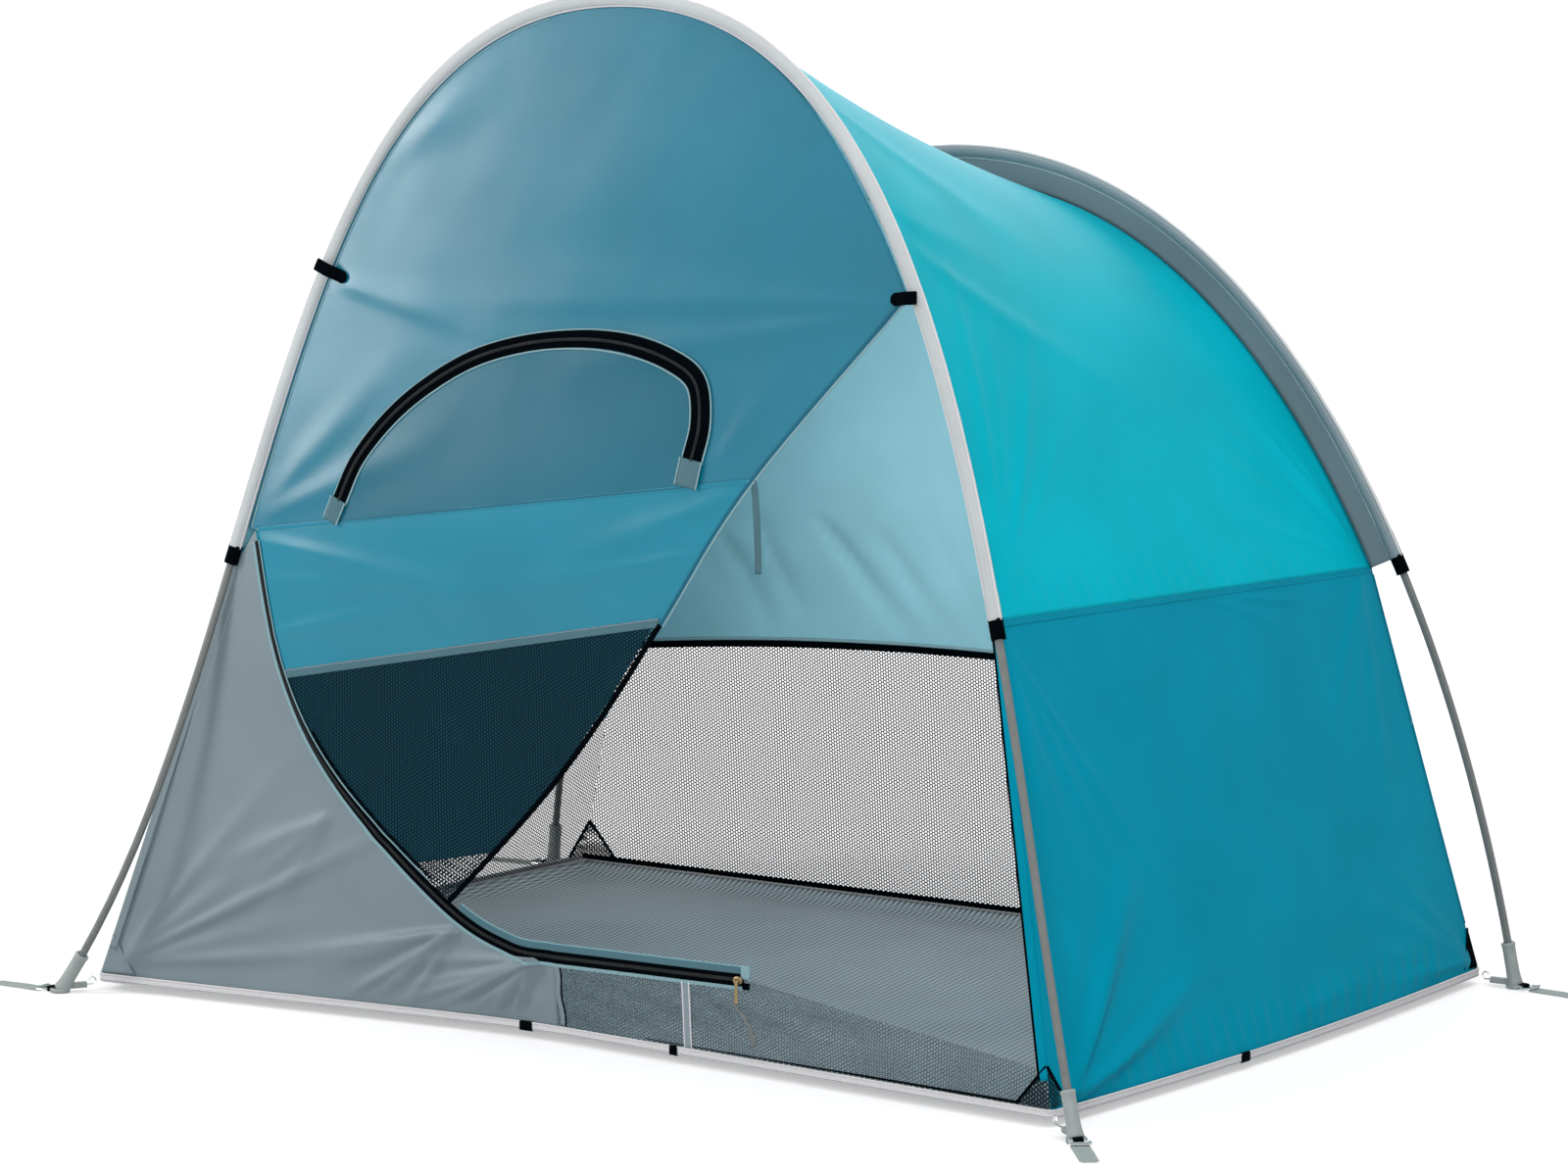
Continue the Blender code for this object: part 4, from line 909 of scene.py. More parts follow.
def make_sleeves(shape):
    """Each sleeve is a flattened tube with small puckers, piped along both sides, with a black end band."""
    wide_half = SLEEVE_RADIUS * 0.86
    deep_half = SLEEVE_RADIUS * 0.80
    stitch_half = SLEEVE_RADIUS * 0.60
    pucker_height = 0.0005
    pucker_length = 0.045
    piping_ring = round_profile(0.0018, 8)
    piping_forward = 0.0016
    end_ring = round_profile(SLEEVE_RADIUS * 0.93, 24)
    end_reach = (0.040, 0.001)
    band_ring = round_profile(SLEEVE_RADIUS * 0.98, 24) * (1, 0.92)
    band_reach = (0.003, -0.026)
    share = np.linspace(0, 1, 420)
    turn = np.linspace(0, 2 * np.pi, 25)[:-1]
    for name, hoop, finish, seed in (
        ("front", shape.front, "polyester_sleeve", 21),
        ("rear", shape.rear, "polyester_strip", 22),
    ):
        line = hoop.arch(share)
        inward = hoop.inward(share)
        out = -hoop.normal
        length = hoop.end - hoop.start
        waves = crumple(share[:, None] * length, turn[None] * SLEEVE_RADIUS, pucker_length, seed)
        pucker = pucker_height * waves
        points = (
            line[:, None]
            + inward[:, None] * ((wide_half + pucker) * np.cos(turn))[..., None]
            + out * ((deep_half + pucker) * np.sin(turn))[..., None]
        )
        around = np.linspace(0, 2 * np.pi * SLEEVE_RADIUS, 25)
        cut = np.stack(np.meshgrid(share * length, around, indexing="ij"), -1)
        cloth(
            f"{name}_sleeve_cloth", points, cut, finish, "stretched", [f"{name}_pole_crown"],
            f"{name}_sleeve", "sleeve",
        )
        for edge, way in (("outer", -1.0), ("inner", 1.0)):
            path = line + inward * way * wide_half + out * piping_forward
            side, up = path_frame(path, out)
            piping = f"{name}_sleeve_piping_{edge}"
            swept(piping, path, side, up, piping_ring, "grosgrain_piping", slot="sleeve")
            row = line + inward * way * stitch_half + out * stitch_half
            stitches(f"{name}_sleeve_stitches_{edge}", row, out + inward * way, "thread_white")
        for side_name, seam, way in (("right", hoop.start, 1), ("left", hoop.end, -1)):
            far, near = end_reach
            path = along(hoop.line, np.linspace(seam + way * far, seam + way * near, 30))
            side, up = path_frame(path, out)
            swept(f"{name}_sleeve_end_{side_name}", path, side, up, end_ring, finish, slot="sleeve")
            far, near = band_reach
            path = along(hoop.line, np.linspace(seam + way * far, seam + way * near, 14))
            side, up = path_frame(path, out)
            swept(
                f"{name}_band_{side_name}", path, side, up, band_ring, "webbing_black",
                stands_for=(f"{name}_sleeve_band_{side_name}",), slot="black_webbing",
            )


def make_canopy(shape):
    """The roof: S(u, v) runs from the front arch to the rear one, drawn in by sag sin(pi u) sin(pi v)."""
    share = np.linspace(0, 1, 260)
    columns = 99
    front, rear = shape.canopy_edges(share)
    points = ruled(front, rear, columns)
    rear_inward = shape.rear.inward(share)
    inward = (shape.front.inward(share) + rear_inward)[:, None] / 2
    u = share[:, None]
    v = np.linspace(0, 1, columns + 1)[None]
    sag = shape.sizes.sag * np.sin(np.pi * u) * np.sin(np.pi * v)
    length = shape.front.end - shape.front.start
    depth = 1.05
    a = u * length
    b = v * depth
    # Pulls from the four corners, from the middle of the front, gathers along the right seam, and two long
    # folds. fan takes an anchor, angles, length, half width, height and seed
    folds = (
        fan((0.03, 0.02), (14, 24, 36, 50), 0.55, 0.014, 0.0050, 31)
        + fan((0.02, depth - 0.02), (-14, -26, -40, -56, -70), 0.40, 0.014, 0.0075, 32)
        + fan((length - 0.03, 0.02), (160, 146, 130), 0.55, 0.018, 0.0030, 33)
        + fan((length - 0.03, depth - 0.02), (200, 214, 230), 0.50, 0.018, 0.0030, 34)
        + fan((0.60, 0.02), (70, 95), 0.45, 0.030, 0.0030, 35)
        + [(0.0, 0.05 + 0.038 * i, 0.075, 0.03 + 0.038 * i, 0.006, 0.0030) for i in range(26)]
        + [(0.55, 0.03, 0.30, 0.70, 0.035, 0.0035), (0.80, 0.03, 0.62, 0.60, 0.040, 0.0030)]
    )
    fade = smooth(v, 0, 0.06) * smooth(1 - v, 0, 0.06) * smooth(u, 0, 0.006) * smooth(1 - u, 0, 0.02)
    relief = (creases(a, b, folds) + 0.0010 * crumple(a, b, 0.26, 36)) * fade
    points = points + inward * (sag - relief)[..., None]
    front_far = distances(points[:, 0])
    rear_far = distances(points[:, -1])
    spread = front_far[:, None] * (1 - v) + rear_far[:, None] * v + (front_far[-1] - rear_far[-1]) / 2 * v
    across = np.linalg.norm(np.diff(points, axis=1), axis=2).cumsum(1)
    across = np.concatenate([np.zeros((len(points), 1)), across], axis=1)
    cloth(
        "canopy_cloth", points, np.stack([spread, across], -1), "taffeta_canopy", "stretched",
        ["front_sleeve", "rear_strip"], "canopy", "canopy_cloth", "taffeta_inside", UP,
    )
    inset = SLEEVE_RADIUS + LAYER_GAP
    outer = shape.rear.arch(share) + rear_inward * inset
    inner = shape.rear.arch(share) + rear_inward * (inset + STRIP_WIDTH)
    cut = np.stack(np.meshgrid(distances(outer), np.linspace(0, STRIP_WIDTH, 7), indexing="ij"), -1)
    cloth(
        "rear_strip_cloth", ruled(inner, outer, 6), cut, "polyester_strip", "stretched", ["rear_sleeve"],
        "rear_strip", "grey_strip", out=UP,
    )
    stitch_ahead = 0.0012
    stitch_inset = 0.004
    row = rear - shape.rear.normal * stitch_ahead + rear_inward * stitch_inset
    stitches("canopy_rear_stitches", row, -inward[:, 0], "thread_teal")


def wall_grid(shape, side, low, high, rows, columns, seed, folds=()):
    """A side wall between two shares s of its height, from 0 at the roof's seam to 1 at the hem.

    Its folds fade at its sewn edges, and it bows outwards by SIDE_BOW sin(pi v) s^1.5.
    """
    share = np.linspace(low, high, rows)[:, None]
    front, rear = (edge[0] + (edge[1] - edge[0]) * share for edge in shape.wall_edges(side, 2))
    points = ruled(front, rear, columns - 1)
    width = np.linalg.norm(rear - front, axis=1)[:, None]
    height = np.linalg.norm(front[-1] - front[0])
    v = np.linspace(0, 1, columns)[None]
    across = width * (v - 0.5)
    down = np.linspace(0, height, rows)[:, None] + 0 * v
    fade = smooth(v, 0, 0.04) * smooth(1 - v, 0, 0.04)
    if low == 0:
        fade = fade * smooth(down, 0, 0.02)
    if high == 1:
        fade = fade * smooth(height - down, 0, 0.02)
    relief = (creases(across, down, folds) + 0.0010 * crumple(across, down, 0.16, seed)) * fade
    points[..., 0] += side * (relief + SIDE_BOW * np.sin(np.pi * v) * share**1.5)
    return points, np.stack([across, down], -1)


def make_side_walls(shape):
    """The right wall is one panel with pulls to its corners. The left one has a mesh window below."""
    height = 0.68
    window_share = 0.6
    # Pulls from the four corners, then folds at the rear foot, under the seam and up from the hem
    folds = (
        fan((-0.54, 0.02), (50, 62, 74, 82), 0.50, 0.014, 0.0030, 41)
        + fan((0.50, 0.01), (100, 112, 128), 0.45, 0.018, 0.0028, 42)
        + fan((0.60, height - 0.02), (186, 194, 206, 222), 0.45, 0.020, 0.0050, 43)
        + fan((-0.55, height - 0.02), (-12, -30, -48, -72), 0.40, 0.016, 0.0045, 44)
        + [(-0.56, height - 0.01, -0.30, height - 0.32, 0.022, 0.012)]
        + [(-0.55, height - 0.01, -0.14, height - 0.15, 0.020, 0.011)]
        + [(0.10, 0.012, 0.42, 0.050, 0.008, 0.0025), (0.05, 0.015, 0.30, 0.085, 0.009, 0.0020)]
        + [(-0.45 + 0.036 * i, height, -0.47 + 0.038 * i, height - 0.09, 0.008, 0.0038) for i in range(26)]
        + [(0.02, height - 0.035, 0.50, height - 0.085, 0.030, 0.0050)]
    )
    sleeves = ["front_sleeve", "rear_sleeve"]
    points, cut = wall_grid(shape, 1, 0, 1, 130, 140, 47, folds)
    cloth(
        "right_wall_cloth", points, cut, "taffeta_wall", "stretched", [*sleeves, "hem_tape"],
        "right_wall", "wall_cloth", "taffeta_inside", (1, 0, 0),
    )
    points, cut = wall_grid(shape, -1, 0, window_share, 90, 120, 48, folds[:8])
    cloth(
        "left_wall_cloth", points, cut, "taffeta_wall", "stretched", sleeves,
        "left_wall", "wall_cloth", "taffeta_inside", (-1, 0, 0),
    )
    points, cut = wall_grid(shape, -1, window_share, 1, 50, 100, 49)
    cloth(
        "left_window_net", points, cut, "knitted_mesh_window", "stretched", ["left_wall", "hem_tape"],
        "left_window_mesh", "window_mesh", out=(-1, 0, 0),
    )


def make_rear_wall(shape):
    """Cloth in the rear hoop's plane above a long mesh window, whose top is the arch rise (1 - s^2)."""
    hoop = shape.rear
    inset = SLEEVE_RADIUS + LAYER_GAP + STRIP_WIDTH
    whole = np.linspace(0, 1, 239)
    arch = hoop.arch(whole) + hoop.inward(whole) * inset
    sides = []
    for side, half_arch in ((1, arch[:119]), (-1, arch[:119:-1])):
        corner = shape.corner_rear(side)
        t = (WINDOW_TOP - WALL_BOTTOM) / (half_arch[0, 2] - WALL_BOTTOM)
        low = corner + (half_arch[0] - corner) * t
        low[1:] = hoop.plane_y(WINDOW_TOP), WINDOW_TOP
        sides.append(even(np.vstack([np.linspace(low, half_arch[0], 20)[:-1], half_arch]), 130))
    columns = 90
    points = ruled(sides[0], sides[1], columns)
    rise = 0.046 * (1 - np.linspace(-1, 1, columns + 1) ** 2)
    rows_that_rise = 40
    fade = np.clip(1 - np.arange(len(points)) / rows_that_rise, 0, 1)[:, None] ** 2
    points[:, :, 2] += rise[None] * fade
    x = points[:, :, 0]
    z = points[:, :, 2]
    # Pulls from both seams and up from the window's edge, then folds beside the door's view of it
    folds = (
        fan((0.68, 0.64), (165, 178, 190, 204, 218), 0.60, 0.026, 0.006, 51)
        + fan((-0.68, 0.64), (15, 2, -10, -24, -38), 0.60, 0.026, 0.006, 52)
        + fan((0.0, 0.44), (60, 80, 100, 120), 0.35, 0.02, 0.004, 53)
        + fan((0.45, 0.42), (70, 90, 110), 0.25, 0.014, 0.004, 54)
        + [(-0.54, 0.62, -0.42, 0.43, 0.014, 0.010), (-0.46, 0.64, -0.36, 0.44, 0.013, 0.009)]
        + [(-0.34, 0.64, -0.14, 0.42, 0.020, 0.012), (-0.22, 0.62, -0.08, 0.44, 0.016, 0.008)]
    )
    from_side = np.minimum(np.arange(columns + 1), columns - np.arange(columns + 1)) / columns
    fade = smooth(from_side, 0, 0.06)[None] * smooth(z, 0.39, 0.45)
    relief = (creases(x, z, folds) + 0.0012 * crumple(x, z, 0.18, 55)) * fade
    points[:, :, 1] = hoop.plane_y(z) + relief
    cloth(
        "rear_wall_cloth", points, np.stack([x, z], -1), "taffeta_wall", "stretched", ["rear_sleeve"],
        "rear_wall", "inner_cloth", "taffeta_inside", BACK,
    )
    top = points[0]
    bottom = np.linspace(shape.corner_rear(1), shape.corner_rear(-1), columns + 1)
    net = ruled(bottom, top, 40).transpose(1, 0, 2)
    cloth(
        "rear_window_net", net, net[..., (0, 2)], "knitted_mesh_window", "stretched",
        ["rear_wall", "hem_tape"], "rear_window_mesh", "window_mesh", out=BACK,
    )
    # Name, edge, how far ahead of it and above it, width, thickness, finish
    for name, edge, ahead, above, width, thickness, finish in (
        ("rear_window_binding", even(top, 200), 0.0022, -0.004, 0.011, 0.0018, "webbing_black"),
        ("rear_window_edging", even(top, 200), 0.0022, 0.0045, 0.005, 0.0016, "grosgrain_edging"),
        ("rear_floor_binding", even(bottom, 100), 0.004, 0.006, 0.008, 0.0016, "webbing_black"),
    ):
        tape(name, edge + FORWARD * ahead + UP * above, FORWARD, width, thickness, finish)


def make_floor(shape):
    """A tub of woven tapes: flat on the ground, and rising as (1 - d / slope)^2 towards the hem."""
    low = 0.0010
    high = 0.0160
    slope = 0.070
    ripple_height = 0.0012
    drawn_in_share = 0.9985
    u, v = np.meshgrid(np.linspace(0, 1, 180), np.linspace(0, 1, 140), indexing="ij")
    front_x = -shape.body_left + (shape.body_left + shape.body_right) * u
    rear_x = -shape.rear_corner + 2 * shape.rear_corner * u
    x = front_x + (rear_x - front_x) * v + SIDE_BOW * np.sin(np.pi * v) * (2 * u - 1)
    front = shape.hem_y(front_x)
    y = front + (shape.rear.plane_y(WALL_BOTTOM) - front) * v
    sizes = shape.sizes
    edge = np.minimum(np.minimum(u, 1 - u) * sizes.foot_span, np.minimum(v, 1 - v) * sizes.foot_depth)
    lift = np.clip(1 - edge / slope, 0, 1) ** 2
    ripple = ripple_height * (1 + crumple(x, y, 0.14, 61)) * smooth(edge, 0.02, 0.1)
    points = np.stack([x * drawn_in_share, y * drawn_in_share, low + (high - low) * lift + ripple], -1)
    cloth(
        "floor_cloth", points, np.stack([x, y], -1), "polyethylene_floor", "laid", ["hem_tape"],
        "floor", "floor_cloth", out=UP,
    )


def hem_path(shape):
    """The hem's line round the base, bowed along its sides, with each corner rounded by a parabola."""
    out = 0.0030
    radius = 0.012
    x = np.linspace(-shape.body_left, shape.body_right, 160)
    front = np.stack([x, shape.hem_y(x) - out], -1)
    front[0, 0] -= out
    front[-1, 0] += out
    rear_x = shape.rear_corner + out
    rear_y = shape.rear.plane_y(WALL_BOTTOM) + out
    right = np.linspace(front[-1], (rear_x, rear_y), 100)
    left = np.linspace((-rear_x, rear_y), front[0], 100)
    bow = SIDE_BOW * np.sin(np.pi * np.linspace(0, 1, 100))
    right[:, 0] += bow
    left[:, 0] -= bow
    back = np.linspace((rear_x, rear_y), (-rear_x, rear_y), 140)
    flat = np.vstack([front, right[1:], back[1:], left[1:-1]])
    for corner in (front[0], front[-1], np.array((rear_x, rear_y)), np.array((-rear_x, rear_y))):
        at = np.hypot(*(flat - corner).T).argmin()
        before = corner + unit(flat[at - 3] - corner) * radius
        after = corner + unit(flat[(at + 3) % len(flat)] - corner) * radius
        t = np.linspace(0, 1, 9)[:, None]
        arc = (1 - t) ** 2 * before + 2 * (1 - t) * t * corner + t**2 * after
        near = np.hypot(*(flat - corner).T) < radius
        kept = np.roll(flat, -at, axis=0)[~np.roll(near, -at)]
        flat = np.vstack([arc, kept])
    return np.column_stack([flat, np.full(len(flat), WALL_BOTTOM)])


def make_hem(shape):
    """A binding folded over the cloth's lower edge all round, piped and stitched, with three black clips."""
    binding = tape_profile(0.0034, 0.0125, 16, 3)
    clip = tape_profile(0.0062, 0.0145, 16, 4)
    wobble = 0.0004
    path = hem_path(shape)
    wrapped = np.vstack([path[-1:], path, path[:1]])
    run = unit(np.gradient(wrapped, axis=0))[1:-1]
    out = unit(np.cross(run, UP))
    up = np.broadcast_to(UP, path.shape)
    far = distances(path)
    uneven = path + up * (wobble * crumple(far, 0 * far, 0.05, 62))[:, None]
    swept(
        "hem_binding", uneven, out, up, binding, "grosgrain_hem", closed=True,
        stands_for=("hem_tape",), slot="hem",
    )
    for label, outside, above, radius, finish in (
        ("upper", 0.0012, 0.0056, 0.0013, "grosgrain_piping"),
        ("lower", 0.0012, -0.0036, 0.0007, "polyester_strip"),
    ):
        line = path + out * outside + up * above
        swept(f"hem_line_{label}", line, out, up, round_profile(radius, 8), finish, closed=True, slot="hem")
    for name, outside, above in (("hem_stitches", 0.0018, 0.0035), ("hem_stitches_lower", 0.0018, -0.0040)):
        stitches(name, path + out * outside + up * above, out, "thread_white")
    # Each clip is near this place on the ground, and this long to either side
    clips = ((-0.123, -0.50, 0.011), (0.160, -0.52, 0.007), (0.832, -0.10, 0.011))
    for number, (x, y, half) in enumerate(clips):
        nearest = np.hypot(path[:, 0] - x, path[:, 1] - y).argmin()
        places = along(path, np.linspace(far[nearest] - half, far[nearest] + half, 8))
        side = np.broadcast_to(out[nearest], (8, 3))
        swept(f"hem_clip_{number}", places, side, up[:8], clip, "webbing_black", slot="black_webbing")


def make_gussets(shape):
    """A folded triangle over each bottom corner, bound along its two free edges."""
    out = 0.0016
    low = 0.0080
    high = 0.066
    front_reach = 0.060
    side_reach = 0.042
    bulge_height = 0.0008
    top_share = 0.985
    flat_height = 0.05
    edge_width = 0.005
    edge_thickness = 0.0014
    t = np.linspace(0, top_share, 14)[None, :, None]
    # Cloth, then edge
    finishes = {
        "front_right": ("knitted_mesh_door", "webbing_black"),
        "front_left": ("taffeta_panel", "taffeta_panel"),
        "rear_right": ("webbing_black", "webbing_black"),
        "rear_left": ("knitted_mesh_door", "webbing_black"),
    }
    for name, (x_side, y_side) in CORNERS.items():
        finish, bound = finishes[name]
        outward = np.array((x_side, y_side, 0.0))
        front, rear = shape.wall_edges(x_side, 2)
        edge = front if y_side < 0 else rear
        up = unit(edge[0] - edge[-1])
        corner = edge[-1] + outward * out
        foot = corner + up * low / up[2]
        apex = corner + up * high / up[2]
        along_side = unit((rear[-1] - front[-1]) * -y_side)
        inside = edge[-1, 0] - x_side * front_reach
        rise = shape.hem_y(inside) - shape.hem_y(edge[-1, 0]) if y_side < 0 else 0
        along_front = unit(np.array((inside - edge[-1, 0], rise, 0)))
        base = even(np.vstack([foot + along_front * front_reach, foot, foot + along_side * side_reach]), 21)
        points = base[:, None] * (1 - t) + apex * t
        bulge = bulge_height * np.sin(np.pi * np.linspace(0, 1, 21))[:, None, None] * outward
        points = points + bulge * (1 - t)
        far = distances(base)[:, None]
        up_cut = t[..., 0]
        cut = np.stack([far * (1 - up_cut) + far[-1] / 2 * up_cut, flat_height * up_cut + 0 * far], -1)
        for number, row in enumerate((0, -1)):
            path = points[row] + unit(outward) * out / 2
            tape(f"gusset_{name}_edge_{number}", path, unit(outward), edge_width, edge_thickness, bound)
        cloth(
            f"gusset_{name}_cloth", points, cut, finish, "stretched", ["hem_tape"],
            f"gusset_{name}", "black_webbing", out=outward,
        )


def front_patch(shape, name, side_a, side_b, steps, finish, forward=0.0, **facts):
    """A piece of the front wall between two outlines of (x, z) places."""
    places = ruled(side_a, side_b, steps)
    return cloth(name, shape.on_front(places, forward), places, finish, out=FORWARD, **facts)


def front_tape(shape, name, line, width, thickness, forward, finish, **facts):
    """A tape this far in front of the front wall, along a line of (x, z) places."""
    return tape(name, shape.on_front(line, forward), FORWARD, width, thickness, finish, **facts)


def front_tapes(shape, rows):
    """Plain tapes, each as (name, line, width, thickness, distance in front, finish, slot)."""
    for *row, slot in rows:
        front_tape(shape, *row, slot=slot)


def front_stitches(shape, name, line, forward, finish):
    """A row of stitches this far in front of the front wall, along a line of (x, z) places."""
    stitches(name, shape.on_front(line, forward), FORWARD, finish)


def shifted(line, distance):
    """The line moved sideways by a distance, to its left."""
    run = unit(np.gradient(line, axis=0))
    return line + np.stack([-run[:, 1], run[:, 0]], -1) * distance


def make_front_panel(shape):
    """The grey cloth between the left leg, the hem and the zip, and the mesh lip beside it."""
    share = np.linspace(0, 1, 400)
    inner = shape.front.arch(share) + shape.front.inward(share) * (SLEEVE_RADIUS + PANEL_STANDOFF)
    top = inner[-1][[0, 2]]
    corner = np.array((-shape.body_left, WALL_BOTTOM))
    seam = shape.panel_seam
    zip_end = shape.zip_run[-1]
    outer = even(np.vstack([np.linspace(top, corner, 90), np.linspace(corner, seam, 90)[1:]]), 160)
    front_patch(
        shape, "front_panel_cloth", outer, even(shape.zip_arc, 160), 90, "taffeta_panel", held="stretched",
        rests_on=["front_sleeve", "hem_tape"], node="front_panel", slot="panel_cloth",
    )
    upper = even(np.vstack([shape.zip_run, np.linspace(zip_end, shape.lip_end, 60)[1:]]), 150)
    lower = np.linspace(seam, (shape.body_right, WALL_BOTTOM), 150)
    front_patch(
        shape, "front_lip_net", lower, upper, 24, "knitted_mesh_lip", held="stretched",
        rests_on=["hem_tape"], node="front_lip_mesh", slot="dark_mesh",
    )
    left_edge = np.linspace(corner + (0.010, 0.020), top + (0.006, -0.020), 80)
    front_stitches(shape, "panel_edge_stitches", left_edge, 0.0008, "thread_white")
    past = np.linspace(zip_end + (0.012, 0), shape.lip_end, 50)
    fold = np.linspace(shape.zip_arc[-1] + (0.002, -0.010), seam + (0.010, 0.008), 30)
    fold[:, 0] += 0.0016 * np.sin(np.linspace(0, 3 * np.pi, 30))
    tab = np.linspace((0.176, 0.121), (0.181, 0.024), 24)
    front_tapes(
        shape,
        (
            ("lip_top_binding", past, 0.0012, 0.0012, 0.0006, "polyester_strip", None),
            ("panel_side_hem", fold, 0.0080, 0.0020, 0.0012, "taffeta_panel", "panel_cloth"),
            ("panel_side_line", fold + (0.0052, 0), 0.0022, 0.0016, 0.0012, "webbing_black", None),
            ("lip_tape", tab, 0.0130, 0.0014, 0.0016, "polyester_strip", "hem"),
            ("lip_tape_left", shifted(tab, 0.0062), 0.0022, 0.0012, 0.0024, "grosgrain_hem", None),
            ("lip_tape_right", shifted(tab, -0.0062), 0.0022, 0.0012, 0.0024, "grosgrain_hem", None),
        ),
    )
    low_start = 0.10
    low_inset = 0.06
    low_above = 0.0095
    height = WALL_BOTTOM + low_above
    low = np.linspace((low_start, height), (shape.body_right - low_inset, height), 120)
    widening = np.linspace(0.3, 1.2, 120)
    front_tape(shape, "lip_bottom_line", low, 0.0034, 0.0014, 0.0014, "webbing_black", grow=widening)
    tail = through(((0.270, 0.100), (0.290, 0.080), (0.300, 0.062), (0.303, 0.044)), 8)
    widening = np.linspace(0.4, 1.3, len(tail))
    front_tape(shape, "lip_tail", tail, 0.0075, 0.0012, 0.0014, "powder_coat_pole", grow=widening)


def make_door(shape):
    """The door's upper cloth, its band, and its mesh with the storm flap behind."""
    zip_arc = shape.zip_arc
    edge = shape.edge
    inset = SLEEVE_RADIUS + 2 * LAYER_GAP
    # The band runs from point 0 to band on the zip's line, and from band to net on the free edge
    band = GUIDE_STEPS
    net = 2 * GUIDE_STEPS
    half = 300
    share = np.linspace(0, 1, 2 * half)
    inner = (shape.front.arch(share) + shape.front.inward(share) * inset)[:, (0, 2)]
    left_arch = inner[half:][::-1][:-2]
    right_arch = inner[:half][:-1]
    above = 0.001
    left_side = np.vstack([zip_arc[0], left_arch[left_arch[:, 1] > zip_arc[0, 1] + above]])
    free = edge[: band + 1][::-1]
    right_side = np.vstack([free, right_arch[right_arch[:, 1] > free[-1, 1] + above]])
    front_patch(
        shape, "door_upper_cloth", even(left_side, 170), even(right_side, 170), 110, "taffeta_door",
        held="hung", rests_on=["front_sleeve"], node="door_upper", slot="door_cloth",
    )
    front_patch(
        shape, "door_band_cloth", even(zip_arc[: band + 1], 50), even(edge[band : net + 1], 50), 110,
        "taffeta_band", held="hung", rests_on=["door_upper", "zip_track"],
        node="door_band", slot="band_cloth",
    )
    arc = even(zip_arc[band : 3 * GUIDE_STEPS + 1], 70)
    slant = even(edge[net:], 70)
    front_patch(
        shape, "door_net", arc, slant, 90, "knitted_mesh_door",
        held="hung", rests_on=["door_band", "zip_track"], node="door_mesh", slot="dark_mesh",
    )
    # The flap behind the net stops short of the net's lower corner and of the free edge. Its dark teal is
    # painted shade
    flap_arc = arc[:56]
    flap_slant = slant[:56] + (flap_arc - slant[:56]) * 0.02
    front_patch(
        shape, "storm_flap_painted_shade", flap_arc, flap_slant, 60, "taffeta_flap", forward=-(CAD_CLOTH + LAYER_GAP),
        held="hung", rests_on=["door_band"], node="storm_flap", slot="flap_cloth",
    )
    seam_one = np.linspace(zip_arc[0], edge[band], 120)
    seam_two = np.linspace(zip_arc[band], edge[net], 120)
    strip = shifted(seam_two, 0.003)
    sleeve_line = even(left_side[:-40], 260)
    dark_line = sleeve_line + (0.0022, 0)
    light_line = sleeve_line + (0.0062, 0)
    free_edge = even(edge[: net + 1], 160)
    # On the door's free edge, the light turquoise binding stands partly for the edge's painted highlight, and
    # the dark tape beside it is painted shade
    binding_and_highlight_edge = shifted(free_edge, 0.0052)
    painted_shade_edge = shifted(free_edge, 0.0015)
    net_edge = even(edge[net:], 90)
    front_tapes(
        shape,
        (
            ("door_seam_upper", seam_one, 0.0070, 0.0010, 0.0007, "taffeta_band", "band_cloth"),
            ("door_seam_lower", strip, 0.0130, 0.0012, 0.0008, "taffeta_trim", "grey_strip"),
            ("door_sleeve_line_dark", dark_line, 0.0026, 0.0014, 0.0008, "taffeta_flap", None),
            ("door_sleeve_line_light", light_line, 0.0022, 0.0012, 0.0008, "grosgrain_edging", None),
            # The binding, partly painted highlight, then the edge's painted shade
            ("door_edge_light", binding_and_highlight_edge, 0.0035, 0.0012, 0.0006, "grosgrain_edging", None),
            ("door_edge_dark", painted_shade_edge, 0.0055, 0.0018, 0.0006, "taffeta_flap", None),
            ("door_edge_black", net_edge, 0.0085, 0.0020, 0.0006, "webbing_black", None),
        ),
    )
    front_stitches(shape, "door_seam_upper_stitches", shifted(seam_one, 0.005), 0.0008, "thread_teal")
    front_stitches(shape, "door_seam_lower_stitches", shifted(seam_two, 0.008), 0.0018, "thread_white")


